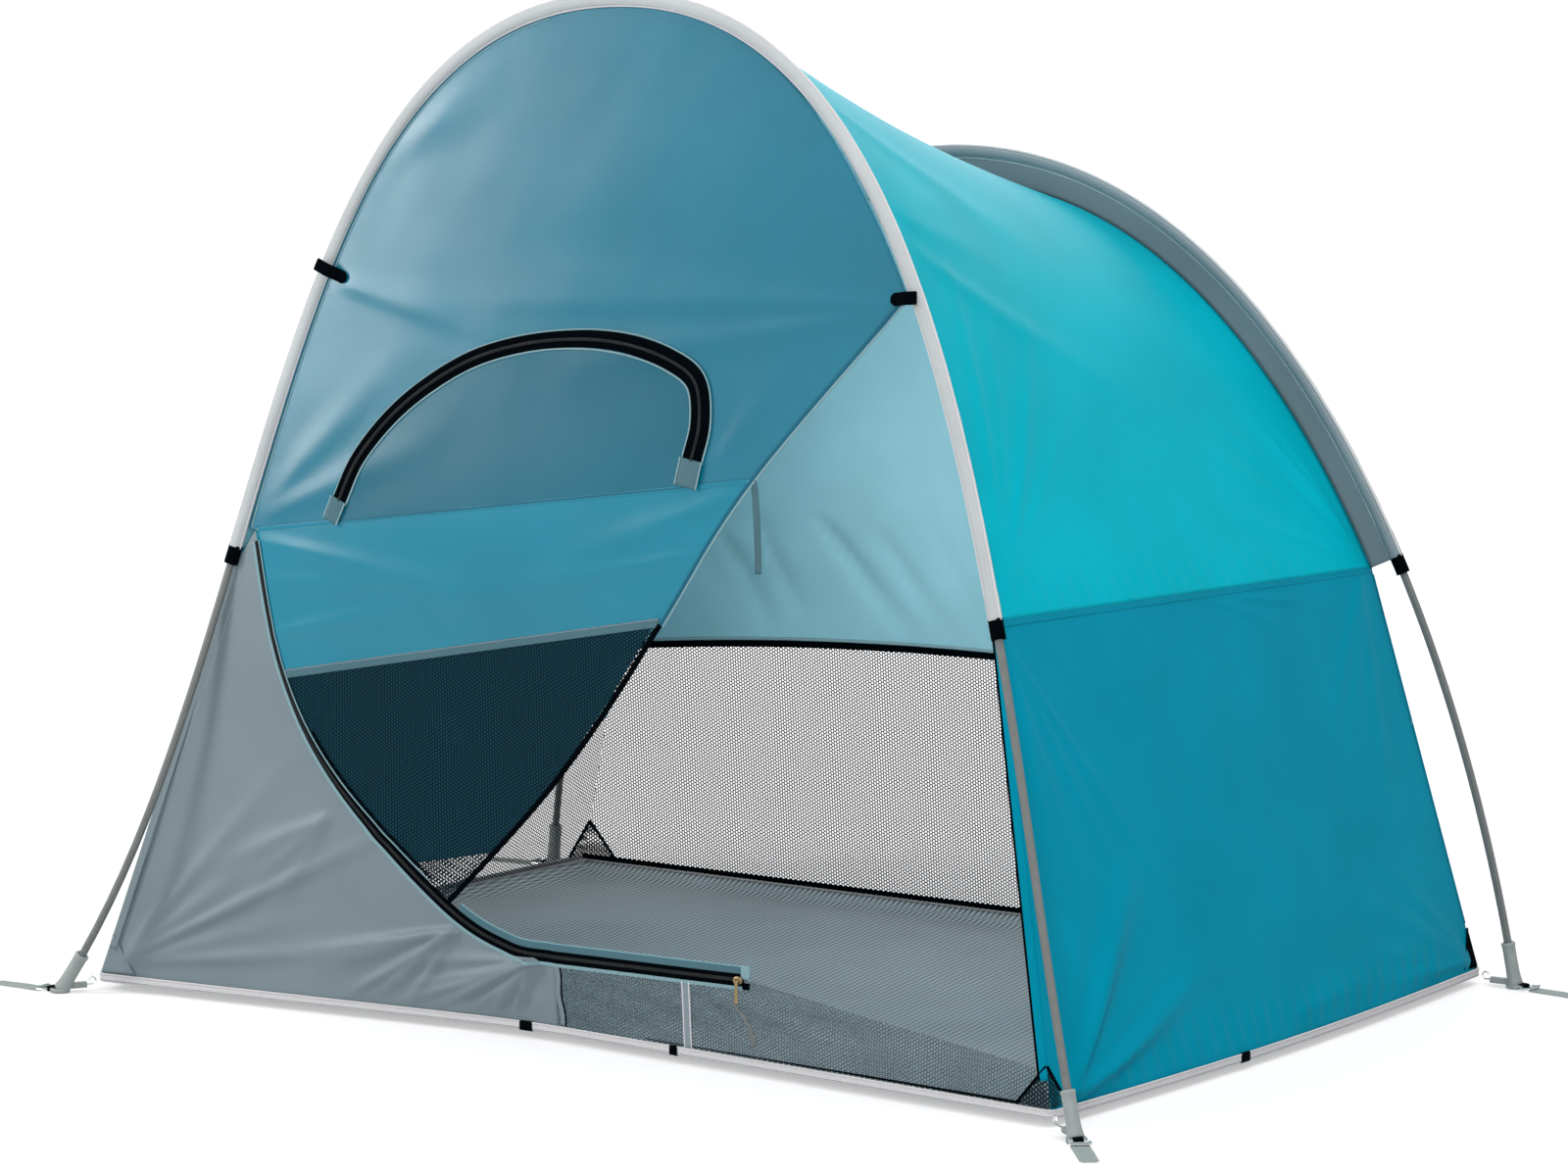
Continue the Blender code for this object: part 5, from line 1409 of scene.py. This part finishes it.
def make_window(shape):
    """The door window's cover, and the arched zip round it with its edging and end tabs."""
    arch = shape.window
    seam = np.stack([shape.zip_arc[0], shape.edge[GUIDE_STEPS]])
    spread = np.linspace(arch[0, 0], arch[-1, 0], 120)
    sill = np.stack([spread, np.interp(spread, seam[:, 0], seam[:, 1])], -1)
    front_patch(
        shape, "door_window_cloth", sill, even(arch, 120), 60, "taffeta_window", forward=0.0012,
        held="hung", rests_on=["door_upper"], node="door_window_cover", slot="door_cloth",
    )
    path = even(arch, 140)
    widening = 1 + 0.35 * smooth(np.linspace(0, 1, 140), 0.5, 0.9)
    front_tape(
        shape, "door_window_tape", path, 0.0240, 0.0034, 0.0030, "webbing_black", power=3, sides=20,
        stands_for=("door_window_zip",), slot="black_webbing", grow=widening,
    )
    edging_offset = 0.0130
    coil_forward = 0.0050
    half = edging_offset * widening[:, None]
    edging = (0.0026, 0.0016, 0.0026, "grosgrain_edging")
    tab_edging = (0.0024, 0.0012, 0.0056, "grosgrain_edging")
    for edge_name, offset in (("outer", half), ("inner", -half)):
        front_tape(shape, f"door_window_edging_{edge_name}", shifted(path, offset), *edging)
    zip_coil("door_window_coil", shape.on_front(path, coil_forward), (0.0011, 0.0024, 0.0018), 0.0022)
    # Each end tab starts at an end of the arch, runs this far right and up, and is this wide
    for number, (place, lean, wide) in enumerate(
        ((arch[0], (-0.014, -0.030), 0.027), (arch[-1], (-0.006, -0.036), 0.037))
    ):
        name = f"door_window_tab_{number}"
        tab = np.linspace(place + (0, 0.003), place + np.array(lean), 12)
        front_tape(shape, name, tab, wide, 0.0030, 0.0040, "taffeta_trim", power=4)
        for edge, offset in (("left", wide / 2), ("right", -wide / 2)):
            front_tape(shape, f"{name}_{edge}", shifted(tab, offset), *tab_edging)


def make_zip(shape):
    """The door zip: black tape with a nylon coil, a teal flap above and a light binding below.

    The tape widens from where the zip is closed to where it is open.
    """
    line = even(np.vstack([shape.zip_arc[3:-1], shape.zip_run]), 300)
    forward = 0.0019
    coil_above = 0.0008
    closed_half = 0.0030
    opening = 0.0062
    opens_from = 0.18
    opens_to = 0.62
    half = (closed_half + opening * smooth(distances(line), opens_from, opens_to))[:, None]
    front_tape(
        shape, "zip_tape", line, 2 * closed_half, 0.0016, forward, "webbing_black",
        stands_for=("zip_track",), slot="black_webbing", grow=half[:, 0] / closed_half,
    )
    closed = slice(0, 150)
    netted = slice(75, 150)
    flapped = slice(165, None)
    # Name, stretch, side, distance past the tape's edge, width, thickness, distance in front, finish
    for name, part, side, past, *look in (
        ("zip_lower_binding", slice(None), -1, 0.0028, 0.0054, 0.0018, 0.0018, "grosgrain_edging"),
        ("zip_inner_line", closed, 1, 0.0012, 0.0022, 0.0012, 0.0018, "grosgrain_edging"),
        ("zip_mesh_strip", netted, 1, 0.0060, 0.0036, 0.0012, 0.0014, "webbing_black"),
        ("zip_upper_flap", flapped, 1, 0.0050, 0.0110, 0.0016, 0.0020, "taffeta_trim"),
        ("zip_upper_edge", flapped, 1, 0.0108, 0.0022, 0.0014, 0.0022, "grosgrain_edging"),
    ):
        front_tape(shape, name, shifted(line[part], side * (half[part] + past)), *look)
    row = shifted(line[flapped], half[flapped] + 0.0085)
    front_stitches(shape, "zip_flap_stitches", row, 0.0032, "thread_teal")
    zip_coil("zip_coil", shape.on_front(line, forward + coil_above), (0.0012, 0.0026, 0.0014), 0.0024)
    end = shape.zip_run[-1]
    # Name, from, to, width, thickness, distance in front, finish
    for name, start, stop, *look in (
        ("zip_end_tab", (-0.004, 0.012), (0.012, 0.012), 0.0200, 0.0020, 0.0034, "grosgrain_edging"),
        ("zip_end_stop", (-0.001, -0.008), (0.011, -0.008), 0.0100, 0.0024, 0.0036, "webbing_black"),
    ):
        front_tape(shape, name, np.linspace(end + start, end + stop, 8), *look, power=4)


def make_slider(shape):
    """The slider on the coil, a plate with flanges and a bridge, and the pull that hangs from it."""
    low, high = (np.array(corner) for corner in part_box("zip_slider"))
    ends = shape.on_front(shape.zip_run[[-10, -1]], 0.0)
    run = unit(ends[1] - ends[0])
    out = unit(np.cross(run, UP))
    up = np.cross(out, run)
    axes = np.stack([run, up, out])
    centre = (low + high) / 2
    half_length = 0.0080
    half_height = 0.0055
    corner_power = 0.6
    turn = np.linspace(0, 2 * np.pi, 33)[:-1]
    waist = 1 - 0.18 * np.cos(turn) ** 2
    x = np.sign(np.cos(turn)) * np.abs(np.cos(turn)) ** corner_power * half_length
    y = np.sign(np.sin(turn)) * np.abs(np.sin(turn)) ** corner_power * half_height * waist
    # The plate's rings, from its back outwards: place and share of the size
    levels = (
        (-0.0030, 0.80), (-0.0030, 0.97), (-0.0022, 1.0), (-0.0006, 1.0), (0.0002, 0.96), (0.0004, 0.6),
    )
    rings = np.array([np.stack([x * grow, y * grow, 0 * turn + height], -1) for height, grow in levels])
    capped(
        "zip_slider_body", rings @ axes + centre, "cast_brass", body="zip_slider",
        stands_for=("zip_slider",), slot="zip_metal",
    )
    bridge_half = 0.0062
    bridge_foot = 0.0002
    bridge_rise = 0.0030
    t = np.linspace(0, np.pi, 20)
    rise = bridge_foot + bridge_rise * np.sin(t)
    arch = np.stack([bridge_half * np.cos(t), 0 * t, rise], -1) @ axes + centre
    side, level = path_frame(arch, up)
    bar = tape_profile(0.0030, 0.0014, 12, 4)
    swept("zip_slider_bridge", arch, side, level, bar, "cast_brass", body="zip_slider", slot="zip_metal")
    low, high = (np.array(corner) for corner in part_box("zip_pull"))
    hole_below = 0.0022
    tip_above = 0.0010
    half_thickness = 0.0009
    half_width = 0.0034
    waist_depth = 0.0010
    flare = 0.0008
    top = (low + high) / 2
    top[2] = high[2] - hole_below
    drop = np.linspace(0, 1, 40)
    width = half_width - waist_depth * np.sin(np.pi * drop) + flare * drop
    path = top + np.outer(drop, UP * (low[2] - top[2] + tip_above))
    angle = np.linspace(0, 2 * np.pi, 25)[:-1]
    across = run * (width[:, None] * np.cos(angle))[..., None]
    rings = path[:, None] + across + out * (half_thickness * np.sin(angle))[None, :, None]
    capped(
        "zip_pull_strap", rings, "cast_brass", body="zip_pull", stands_for=("zip_pull",), slot="zip_metal",
    )
    ring_half_width = 0.0036
    ring_half_height = 0.0030
    ring_below = 0.0005
    t = np.linspace(0, 2 * np.pi, 31)[:-1]
    drop = ring_half_height * np.sin(t) - ring_below
    loop = top + run * (ring_half_width * np.cos(t))[:, None] + np.outer(drop, UP)
    side, level = path_frame(np.vstack([loop, loop[:1]]), out)
    swept(
        "zip_pull_ring", loop, side[:-1], level[:-1], round_profile(0.0007, 8), "cast_brass", closed=True,
        body="zip_pull", slot="zip_metal",
    )


def make_trim(shape):
    """The tie strap on the free edge and the two toggles on the front sleeve."""
    top = shape.edge[GUIDE_STEPS] + np.array((0.007, 0.002))
    strap_length = 0.134
    swing = 0.01
    t = np.linspace(0, 1, 40)
    line = np.stack([top[0] + 0.0018 * np.sin(3 * t), top[1] - strap_length * t], -1)
    path = shape.on_front(line)
    path[:, 1] = shape.wall_y(top[0], top[1]) + swing * t - 0.001
    side, up = path_frame(path, FORWARD)
    turn = np.radians(38) * np.sin(2.4 * t)[:, None]
    side, up = side * np.cos(turn) + up * np.sin(turn), up * np.cos(turn) - side * np.sin(turn)
    strap = tape_profile(0.010, 0.0010, 12, 5)
    swept("tie_tape", path, side, up, strap, "taffeta_trim", stands_for=("tie_strap",), slot="tab_webbing")
    out = -shape.front.normal
    t = np.linspace(0, 1, 32)
    # A toggle stands off the sleeve at its first end and lies on the cloth at its second
    stand_off = (0.0030 + 0.0115 * (1 - smooth(t, 0.30, 0.85)))[:, None]
    for side_name, start, stop in (
        ("right", (0.534, 1.116), (0.487, 1.112)),
        ("left", (-0.518, 1.107), (-0.468, 1.088)),
    ):
        path = shape.on_front(np.linspace(start, stop, 32)) + out * stand_off
        tape(
            f"toggle_tab_{side_name}", path, out, 0.0190, 0.0042, "webbing_black", 4,
            stands_for=(f"toggle_{side_name}",), slot="black_webbing", grow=1 - 0.45 * smooth(t, 0.88, 1),
        )


def level_steps(yaw):
    """Unit steps along the ground in this direction and to its left."""
    return np.array((np.cos(yaw), np.sin(yaw), 0)), np.array((-np.sin(yaw), np.cos(yaw), 0))


def make_feet(shape):
    """Each foot: a boot on the pole, its base, its ribbed arm, the black strap, and the peg tab."""
    pole_measure = 0.071
    # The boot's tube and base as (radius, height), from the ground up
    tube = (
        (0.0067, 0.0160), (0.0067, 0.0700), (0.0072, 0.0712), (0.0098, 0.0712), (0.0106, 0.0702),
        (0.0108, 0.0670), (0.0100, 0.0655), (0.0099, 0.0500), (0.0101, 0.0300), (0.0106, 0.0180),
        (0.0116, 0.0120), (0.0124, 0.0075), (0.0118, 0.0056), (0.0, 0.0056), (0.0, 0.0160), (0.0067, 0.0160),
    )
    base = ((0.0, 0.0), (0.0138, 0.0), (0.0150, 0.0012), (0.0151, 0.0048), (0.0143, 0.0060), (0.0, 0.0062))
    arm = tape_profile(0.0122, 0.0096, 20, 4)
    arm_height = 0.0084
    arm_far = np.linspace(0.006, 0.041, 60)[:, None]
    rib_pitch = 0.0052
    ribs = 1 - 0.16 * smooth(arm_far, 0.014, 0.018) * (np.sin(arm_far * 2 * np.pi / rib_pitch) > 0.2)
    # The strap runs out over the ring's near bar, round it and back, as (distance from the foot, height)
    half_turn = np.linspace(0, np.pi, 12)
    out_far = np.linspace(0.004, 0.0175, 12)
    round_far = 0.0175 + 0.0030 * np.sin(half_turn)
    back_far = np.linspace(0.0170, 0.004, 12)[1:]
    strap_far = np.concatenate([out_far, round_far, back_far])[:, None]
    round_height = 0.0041 + 0.0036 * np.cos(half_turn)
    strap_height = np.concatenate([np.full(12, 0.0078), round_height, np.full(11, 0.0012)])
    strap = tape_profile(0.0012, 0.0150, 12, 4)
    for name, (x_side, y_side) in CORNERS.items():
        hoop = shape.front if y_side < 0 else shape.rear
        line = hoop.line if x_side > 0 else hoop.line[::-1]
        foot = line[0]
        axis = unit(along(line, np.array([pole_measure]))[0] - foot)
        tilt = Vector(UP).rotation_difference(Vector(axis)).to_matrix().to_4x4()
        stand = Matrix.Translation(foot)
        boot = {"finish": "moulded_nylon", "slot": "boot_plastic"}
        lathe(f"boot_{name}_tube", tube, stand @ tilt, stands_for=(f"boot_{name}",), **boot)
        lathe(f"boot_{name}_base", base, stand, **boot)
        to_corner = shape.wall_edges(x_side, 2)[0 if y_side < 0 else 1][-1] - foot
        run, side = level_steps(np.arctan2(to_corner[1], to_corner[0]))
        path = foot + run * arm_far + UP * arm_height
        rings = path[:, None] + side * (arm[:, 0] * ribs)[..., None] + UP * (arm[:, 1] * ribs)[..., None]
        capped(f"boot_{name}_arm", rings, **boot)
        run, side = level_steps(np.radians(TAB_YAW[name]))
        path = foot + run * strap_far + UP * strap_height[:, None]
        across, out = path_frame(path, side)
        swept(f"boot_{name}_strap", path, across, out, strap, "webbing_black", slot="black_webbing")
        make_tab(name, foot, run, side)


def make_tab(name, foot, run, side):
    """The peg tab: grey webbing folded round the ring's far bar, stitched down, with a rounded end."""
    bar = 0.0340
    fold_radius = 0.0027
    fold_height = 0.0040
    half_width = 0.0132
    stitch_inset = 0.0025
    turn = np.linspace(0.25 * np.pi, 1.5 * np.pi, 20)
    eye = np.stack([bar + fold_radius * np.cos(turn), fold_height + fold_radius * np.sin(turn)], -1)
    strip = np.stack([np.linspace(bar + 0.003, bar + 0.092, 50), np.full(50, fold_height - fold_radius)], -1)
    line = np.vstack([eye, strip])
    far = line[:, 0] - bar
    line[:, 1] += 0.0006 * np.sin(far * 60) * smooth(far, 0.02, 0.05)
    path = foot + run * line[:, :1] + UP * line[:, 1:]
    half = half_width * (1 - 0.35 * smooth(far, 0.086, 0.0921))[:, None]
    across = np.linspace(-1, 1, 15)
    points = path[:, None] + side * (half * across)[..., None]
    cut = np.stack([distances(path)[:, None] + 0 * across, half * across], -1)
    body = f"peg_tab_{name}"
    cloth(
        f"{body}_webbing", points, cut, "webbing_grey", "laid", [f"peg_ring_{name}"],
        body, "tab_webbing", out=UP, body=body, thickness=0.0012,
    )
    # The stitches start past the fold and stop before the rounded end
    flat = slice(24, -2)
    for number, sign in enumerate((-1, 1)):
        row = path[flat] + side * sign * (half[flat] - stitch_inset) + UP * 0.0008
        stitches(f"{body}_stitches_{number}", row, UP, "thread_white", body=body)


def make_seams(shape):
    """The felled seam between roof and wall, and the bindings on the walls' front and rear edges."""
    seam_out = 0.0012
    seam_below = 0.003
    stitch_out = 0.0022
    for side, word in ((1, "right"), (-1, "left")):
        outward = np.array((side, 0.0, 0.0))
        front, rear = shape.wall_edges(side, 60)
        top = np.linspace(front[0], rear[0], 120)
        out = outward + UP * 0.25
        path = top + outward * seam_out - UP * seam_below
        tape(f"{word}_seam", path, out, 0.009, 0.0014, "taffeta_wall", slot="wall_cloth")
        for label, above in (("upper", 0.0008), ("lower", -0.0066)):
            row = top + outward * stitch_out + UP * above
            stitches(f"{word}_seam_stitches_{label}", row, out, "thread_teal")
        # The rear binding stops above the gusset, and on the left above the mesh window's corner
        front = front[1:-4]
        rear = rear[1 : -7 if side > 0 else -26]
        edge_finish = "taffeta_wall" if side > 0 else "taffeta_panel"
        # Name, edge, the way it faces, how far it is set in and out, width, thickness, finish, slot
        rows = [("front_edge", front, FORWARD, 0.0050, 0.0016, 0.0130, 0.0014, edge_finish, "wall_cloth")]
        if side > 0:
            binding = (0.0130, 0.0014, 0.0040, 0.0018, "webbing_black", "black_webbing")
            rows += [("front_binding", front, FORWARD, *binding)]
        rows += [("rear_edge", rear, BACK, 0.0030, 0.0012, 0.0080, 0.0014, "taffeta_wall", "wall_cloth")]
        for name, edge, way, inset, ahead, width, thickness, finish, slot in rows:
            path = edge - outward * inset + way * ahead
            tape(f"{word}_{name}", even(path, 90), way, width, thickness, finish, slot=slot)


def seen_directly(tree):
    """1 for camera, glossy and transmission rays, which see the white backdrop, and 0 for other rays."""
    path = add_node(tree, "ShaderNodeLightPath")
    seen = path.outputs["Is Camera Ray"]
    for kind in ("Is Glossy Ray", "Is Transmission Ray"):
        parts = {0: seen, 1: path.outputs[kind]}
        seen = add_node(tree, "ShaderNodeMath", parts, operation="MAXIMUM").outputs[0]
    return seen


def make_floor_of_stage():
    """A pale paper floor that keeps the tent's shadow and fades to the white backdrop."""
    half = 60.0
    corners = ((-half, -half, 0), (half, -half, 0), (half, half, 0), (-half, half, 0))
    mesh = bpy.data.meshes.new("stage_floor")
    mesh.from_pydata(corners, [], [(0, 1, 2, 3)])
    floor = bpy.data.objects.new("stage_floor", mesh)
    bpy.context.scene.collection.objects.link(floor)
    floor.location.z = -0.0006
    # Studio paper, uncoated: flat and pale. What the camera sees of it is lifted to white further out
    tree, shader, output = new_material("studio_paper")
    shader.inputs["Base Color"].default_value = (0.60, 0.60, 0.61, 1)
    shader.inputs["Roughness"].default_value = 0.9
    place = add_node(tree, "ShaderNodeTexCoord").outputs["Object"]
    far = add_node(tree, "ShaderNodeVectorMath", {0: place}, operation="LENGTH").outputs["Value"]
    lift = add_node(tree, "ShaderNodeMapRange", {"Value": far, 1: 1.5, 2: 9.0, 3: 0.42, 4: 0.75})
    glow = add_node(tree, "ShaderNodeEmission", {"Color": (1, 1, 1, 1), "Strength": lift.outputs[0]})
    both = add_node(tree, "ShaderNodeAddShader", {0: shader.outputs[0], 1: glow.outputs[0]})
    parts = {0: seen_directly(tree), 1: shader.outputs[0], 2: both.outputs[0]}
    mixed = add_node(tree, "ShaderNodeMixShader", parts)
    tree.links.new(mixed.outputs[0], output.inputs["Surface"])
    mesh.materials.append(bpy.data.materials["studio_paper"])


def make_world():
    """A white backdrop at strength 1, which lights the tent at half of that."""
    world = bpy.data.worlds.new("studio")
    bpy.context.scene.world = world
    world.use_nodes = True
    tree = world.node_tree
    backdrop = tree.nodes["Background"]
    backdrop.inputs["Color"].default_value = (1, 1, 1, 1)
    backdrop.inputs["Strength"].default_value = 1.0
    soft = add_node(tree, "ShaderNodeBackground", {"Color": (1, 1, 1, 1), "Strength": 0.50})
    parts = {0: seen_directly(tree), 1: soft.outputs[0], 2: backdrop.outputs[0]}
    mixed = add_node(tree, "ShaderNodeMixShader", parts)
    tree.links.new(mixed.outputs[0], tree.nodes["World Output"].inputs["Surface"])


def make_lamps():
    """Soft lamps all round, and one inside that stands for the light the thin roof lets in."""
    for name, place, target, size, power in LAMPS:
        light = bpy.data.lights.new(name, "AREA")
        light.shape = "RECTANGLE"
        light.size, light.size_y = size
        light.energy = power
        lamp = bpy.data.objects.new(name, light)
        lamp.location = place
        lamp.rotation_mode = "QUATERNION"
        lamp.rotation_quaternion = (Vector(target) - Vector(place)).to_track_quat("-Z", "Y")
        lamp.visible_camera = name != "inside"
        lamp.visible_glossy = name != "inside"
        bpy.context.scene.collection.objects.link(lamp)


def make_camera():
    """The camera at the photograph's angle."""
    turn = np.radians(CAMERA_TURN)
    down = np.radians(CAMERA_RISE)
    forward = np.array((-np.sin(turn) * np.cos(down), np.cos(turn) * np.cos(down), -np.sin(down)))
    right = np.array((np.cos(turn), np.sin(turn), 0))
    up = np.cross(right, forward)
    pixel = CAMERA_DISTANCE / FOCAL_PIXELS
    shift = up * CENTRE_DOWN_PIXELS - right * CENTRE_RIGHT_PIXELS
    centre = shift * pixel - forward * CAMERA_DISTANCE
    data = bpy.data.cameras.new("camera")
    data.sensor_width = 36.0
    data.lens = FOCAL_PIXELS / PHOTO_PIXELS * data.sensor_width
    data.clip_end = 200.0
    camera = bpy.data.objects.new("camera", data)
    matrix = np.eye(4)
    matrix[:3, :3] = np.stack([right, up, -forward], -1)
    matrix[:3, 3] = centre
    camera.matrix_world = Matrix(matrix.tolist())
    bpy.context.scene.collection.objects.link(camera)
    bpy.context.scene.camera = camera
    bpy.context.scene.view_settings.view_transform = "Standard"


# Operators and panel


def shape_of(context):
    return Shape(context.scene.tent_sizes)


class TENT_OT_finishes(bpy.types.Operator):
    """Makes the materials and gives the carried-over poles and wires theirs"""

    bl_idname = "tent.finishes"
    bl_label = "Finishes"

    def execute(self, context):
        make_materials()
        finish_poles_and_wires()
        return {"FINISHED"}


class TENT_OT_sleeves(bpy.types.Operator):
    """Adds the two pole sleeves with their piping and end bands"""

    bl_idname = "tent.sleeves"
    bl_label = "Sleeves"

    def execute(self, context):
        make_sleeves(shape_of(context))
        return {"FINISHED"}


class TENT_OT_canopy(bpy.types.Operator):
    """Adds the roof and the grey strip behind it"""

    bl_idname = "tent.canopy"
    bl_label = "Canopy"

    def execute(self, context):
        make_canopy(shape_of(context))
        return {"FINISHED"}


class TENT_OT_walls(bpy.types.Operator):
    """Adds the side walls, the rear wall and their windows and seams"""

    bl_idname = "tent.walls"
    bl_label = "Walls"

    def execute(self, context):
        shape = shape_of(context)
        make_side_walls(shape)
        make_rear_wall(shape)
        make_seams(shape)
        return {"FINISHED"}


class TENT_OT_base(bpy.types.Operator):
    """Adds the floor, the hem and the corner gussets"""

    bl_idname = "tent.base"
    bl_label = "Base"

    def execute(self, context):
        shape = shape_of(context)
        make_floor(shape)
        make_hem(shape)
        make_gussets(shape)
        return {"FINISHED"}


class TENT_OT_front(bpy.types.Operator):
    """Adds the grey panel, the mesh lip, the door and its window"""

    bl_idname = "tent.front"
    bl_label = "Front and door"

    def execute(self, context):
        shape = shape_of(context)
        make_front_panel(shape)
        make_door(shape)
        make_window(shape)
        return {"FINISHED"}


class TENT_OT_zip(bpy.types.Operator):
    """Adds the door zip with its slider and pull, the tie and the toggles"""

    bl_idname = "tent.zip"
    bl_label = "Zip and trim"

    def execute(self, context):
        shape = shape_of(context)
        make_zip(shape)
        make_slider(shape)
        make_trim(shape)
        return {"FINISHED"}


class TENT_OT_feet(bpy.types.Operator):
    """Adds the four feet with their straps and peg tabs"""

    bl_idname = "tent.feet"
    bl_label = "Feet"

    def execute(self, context):
        make_feet(shape_of(context))
        return {"FINISHED"}


class TENT_OT_stage(bpy.types.Operator):
    """Adds the floor, the lamps and the camera"""

    bl_idname = "tent.stage"
    bl_label = "Stage"

    def execute(self, context):
        make_floor_of_stage()
        make_world()
        make_lamps()
        make_camera()
        return {"FINISHED"}


class TENT_PT_panel(bpy.types.Panel):
    """Lists the tent's pieces, sizes and colours"""

    bl_idname = "TENT_PT_panel"
    bl_label = "Beach tent"
    bl_space_type = "VIEW_3D"
    bl_region_type = "UI"
    bl_category = "Beach tent"

    def draw(self, context):
        for operator in OPERATORS:
            self.layout.operator(operator.bl_idname)
        for group in (context.scene.tent_sizes, context.scene.tent_colours):
            for name in group.bl_rna.properties.keys():
                if name not in ("rna_type", "name"):
                    self.layout.prop(group, name)


OPERATORS = (
    TENT_OT_finishes,
    TENT_OT_sleeves,
    TENT_OT_canopy,
    TENT_OT_walls,
    TENT_OT_base,
    TENT_OT_front,
    TENT_OT_zip,
    TENT_OT_feet,
    TENT_OT_stage,
)
CLASSES = (TentSizes, TentColours, *OPERATORS, TENT_PT_panel)


def register():
    for kind in CLASSES:
        bpy.utils.register_class(kind)
    bpy.types.Scene.tent_sizes = bpy.props.PointerProperty(type=TentSizes)
    bpy.types.Scene.tent_colours = bpy.props.PointerProperty(type=TentColours)


def unregister():
    del bpy.types.Scene.tent_colours
    del bpy.types.Scene.tent_sizes
    for kind in reversed(CLASSES):
        bpy.utils.unregister_class(kind)


def main():
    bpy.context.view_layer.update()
    for existing in list(bpy.data.objects):
        if existing.name in ("Cube", "Light", "Camera"):
            bpy.data.objects.remove(existing)
    register()
    bpy.ops.tent.finishes()
    bpy.ops.tent.sleeves()
    bpy.ops.tent.canopy()
    bpy.ops.tent.walls()
    bpy.ops.tent.base()
    bpy.ops.tent.front()
    bpy.ops.tent.zip()
    bpy.ops.tent.feet()
    bpy.ops.tent.stage()


if __name__ == "__main__":
    main()
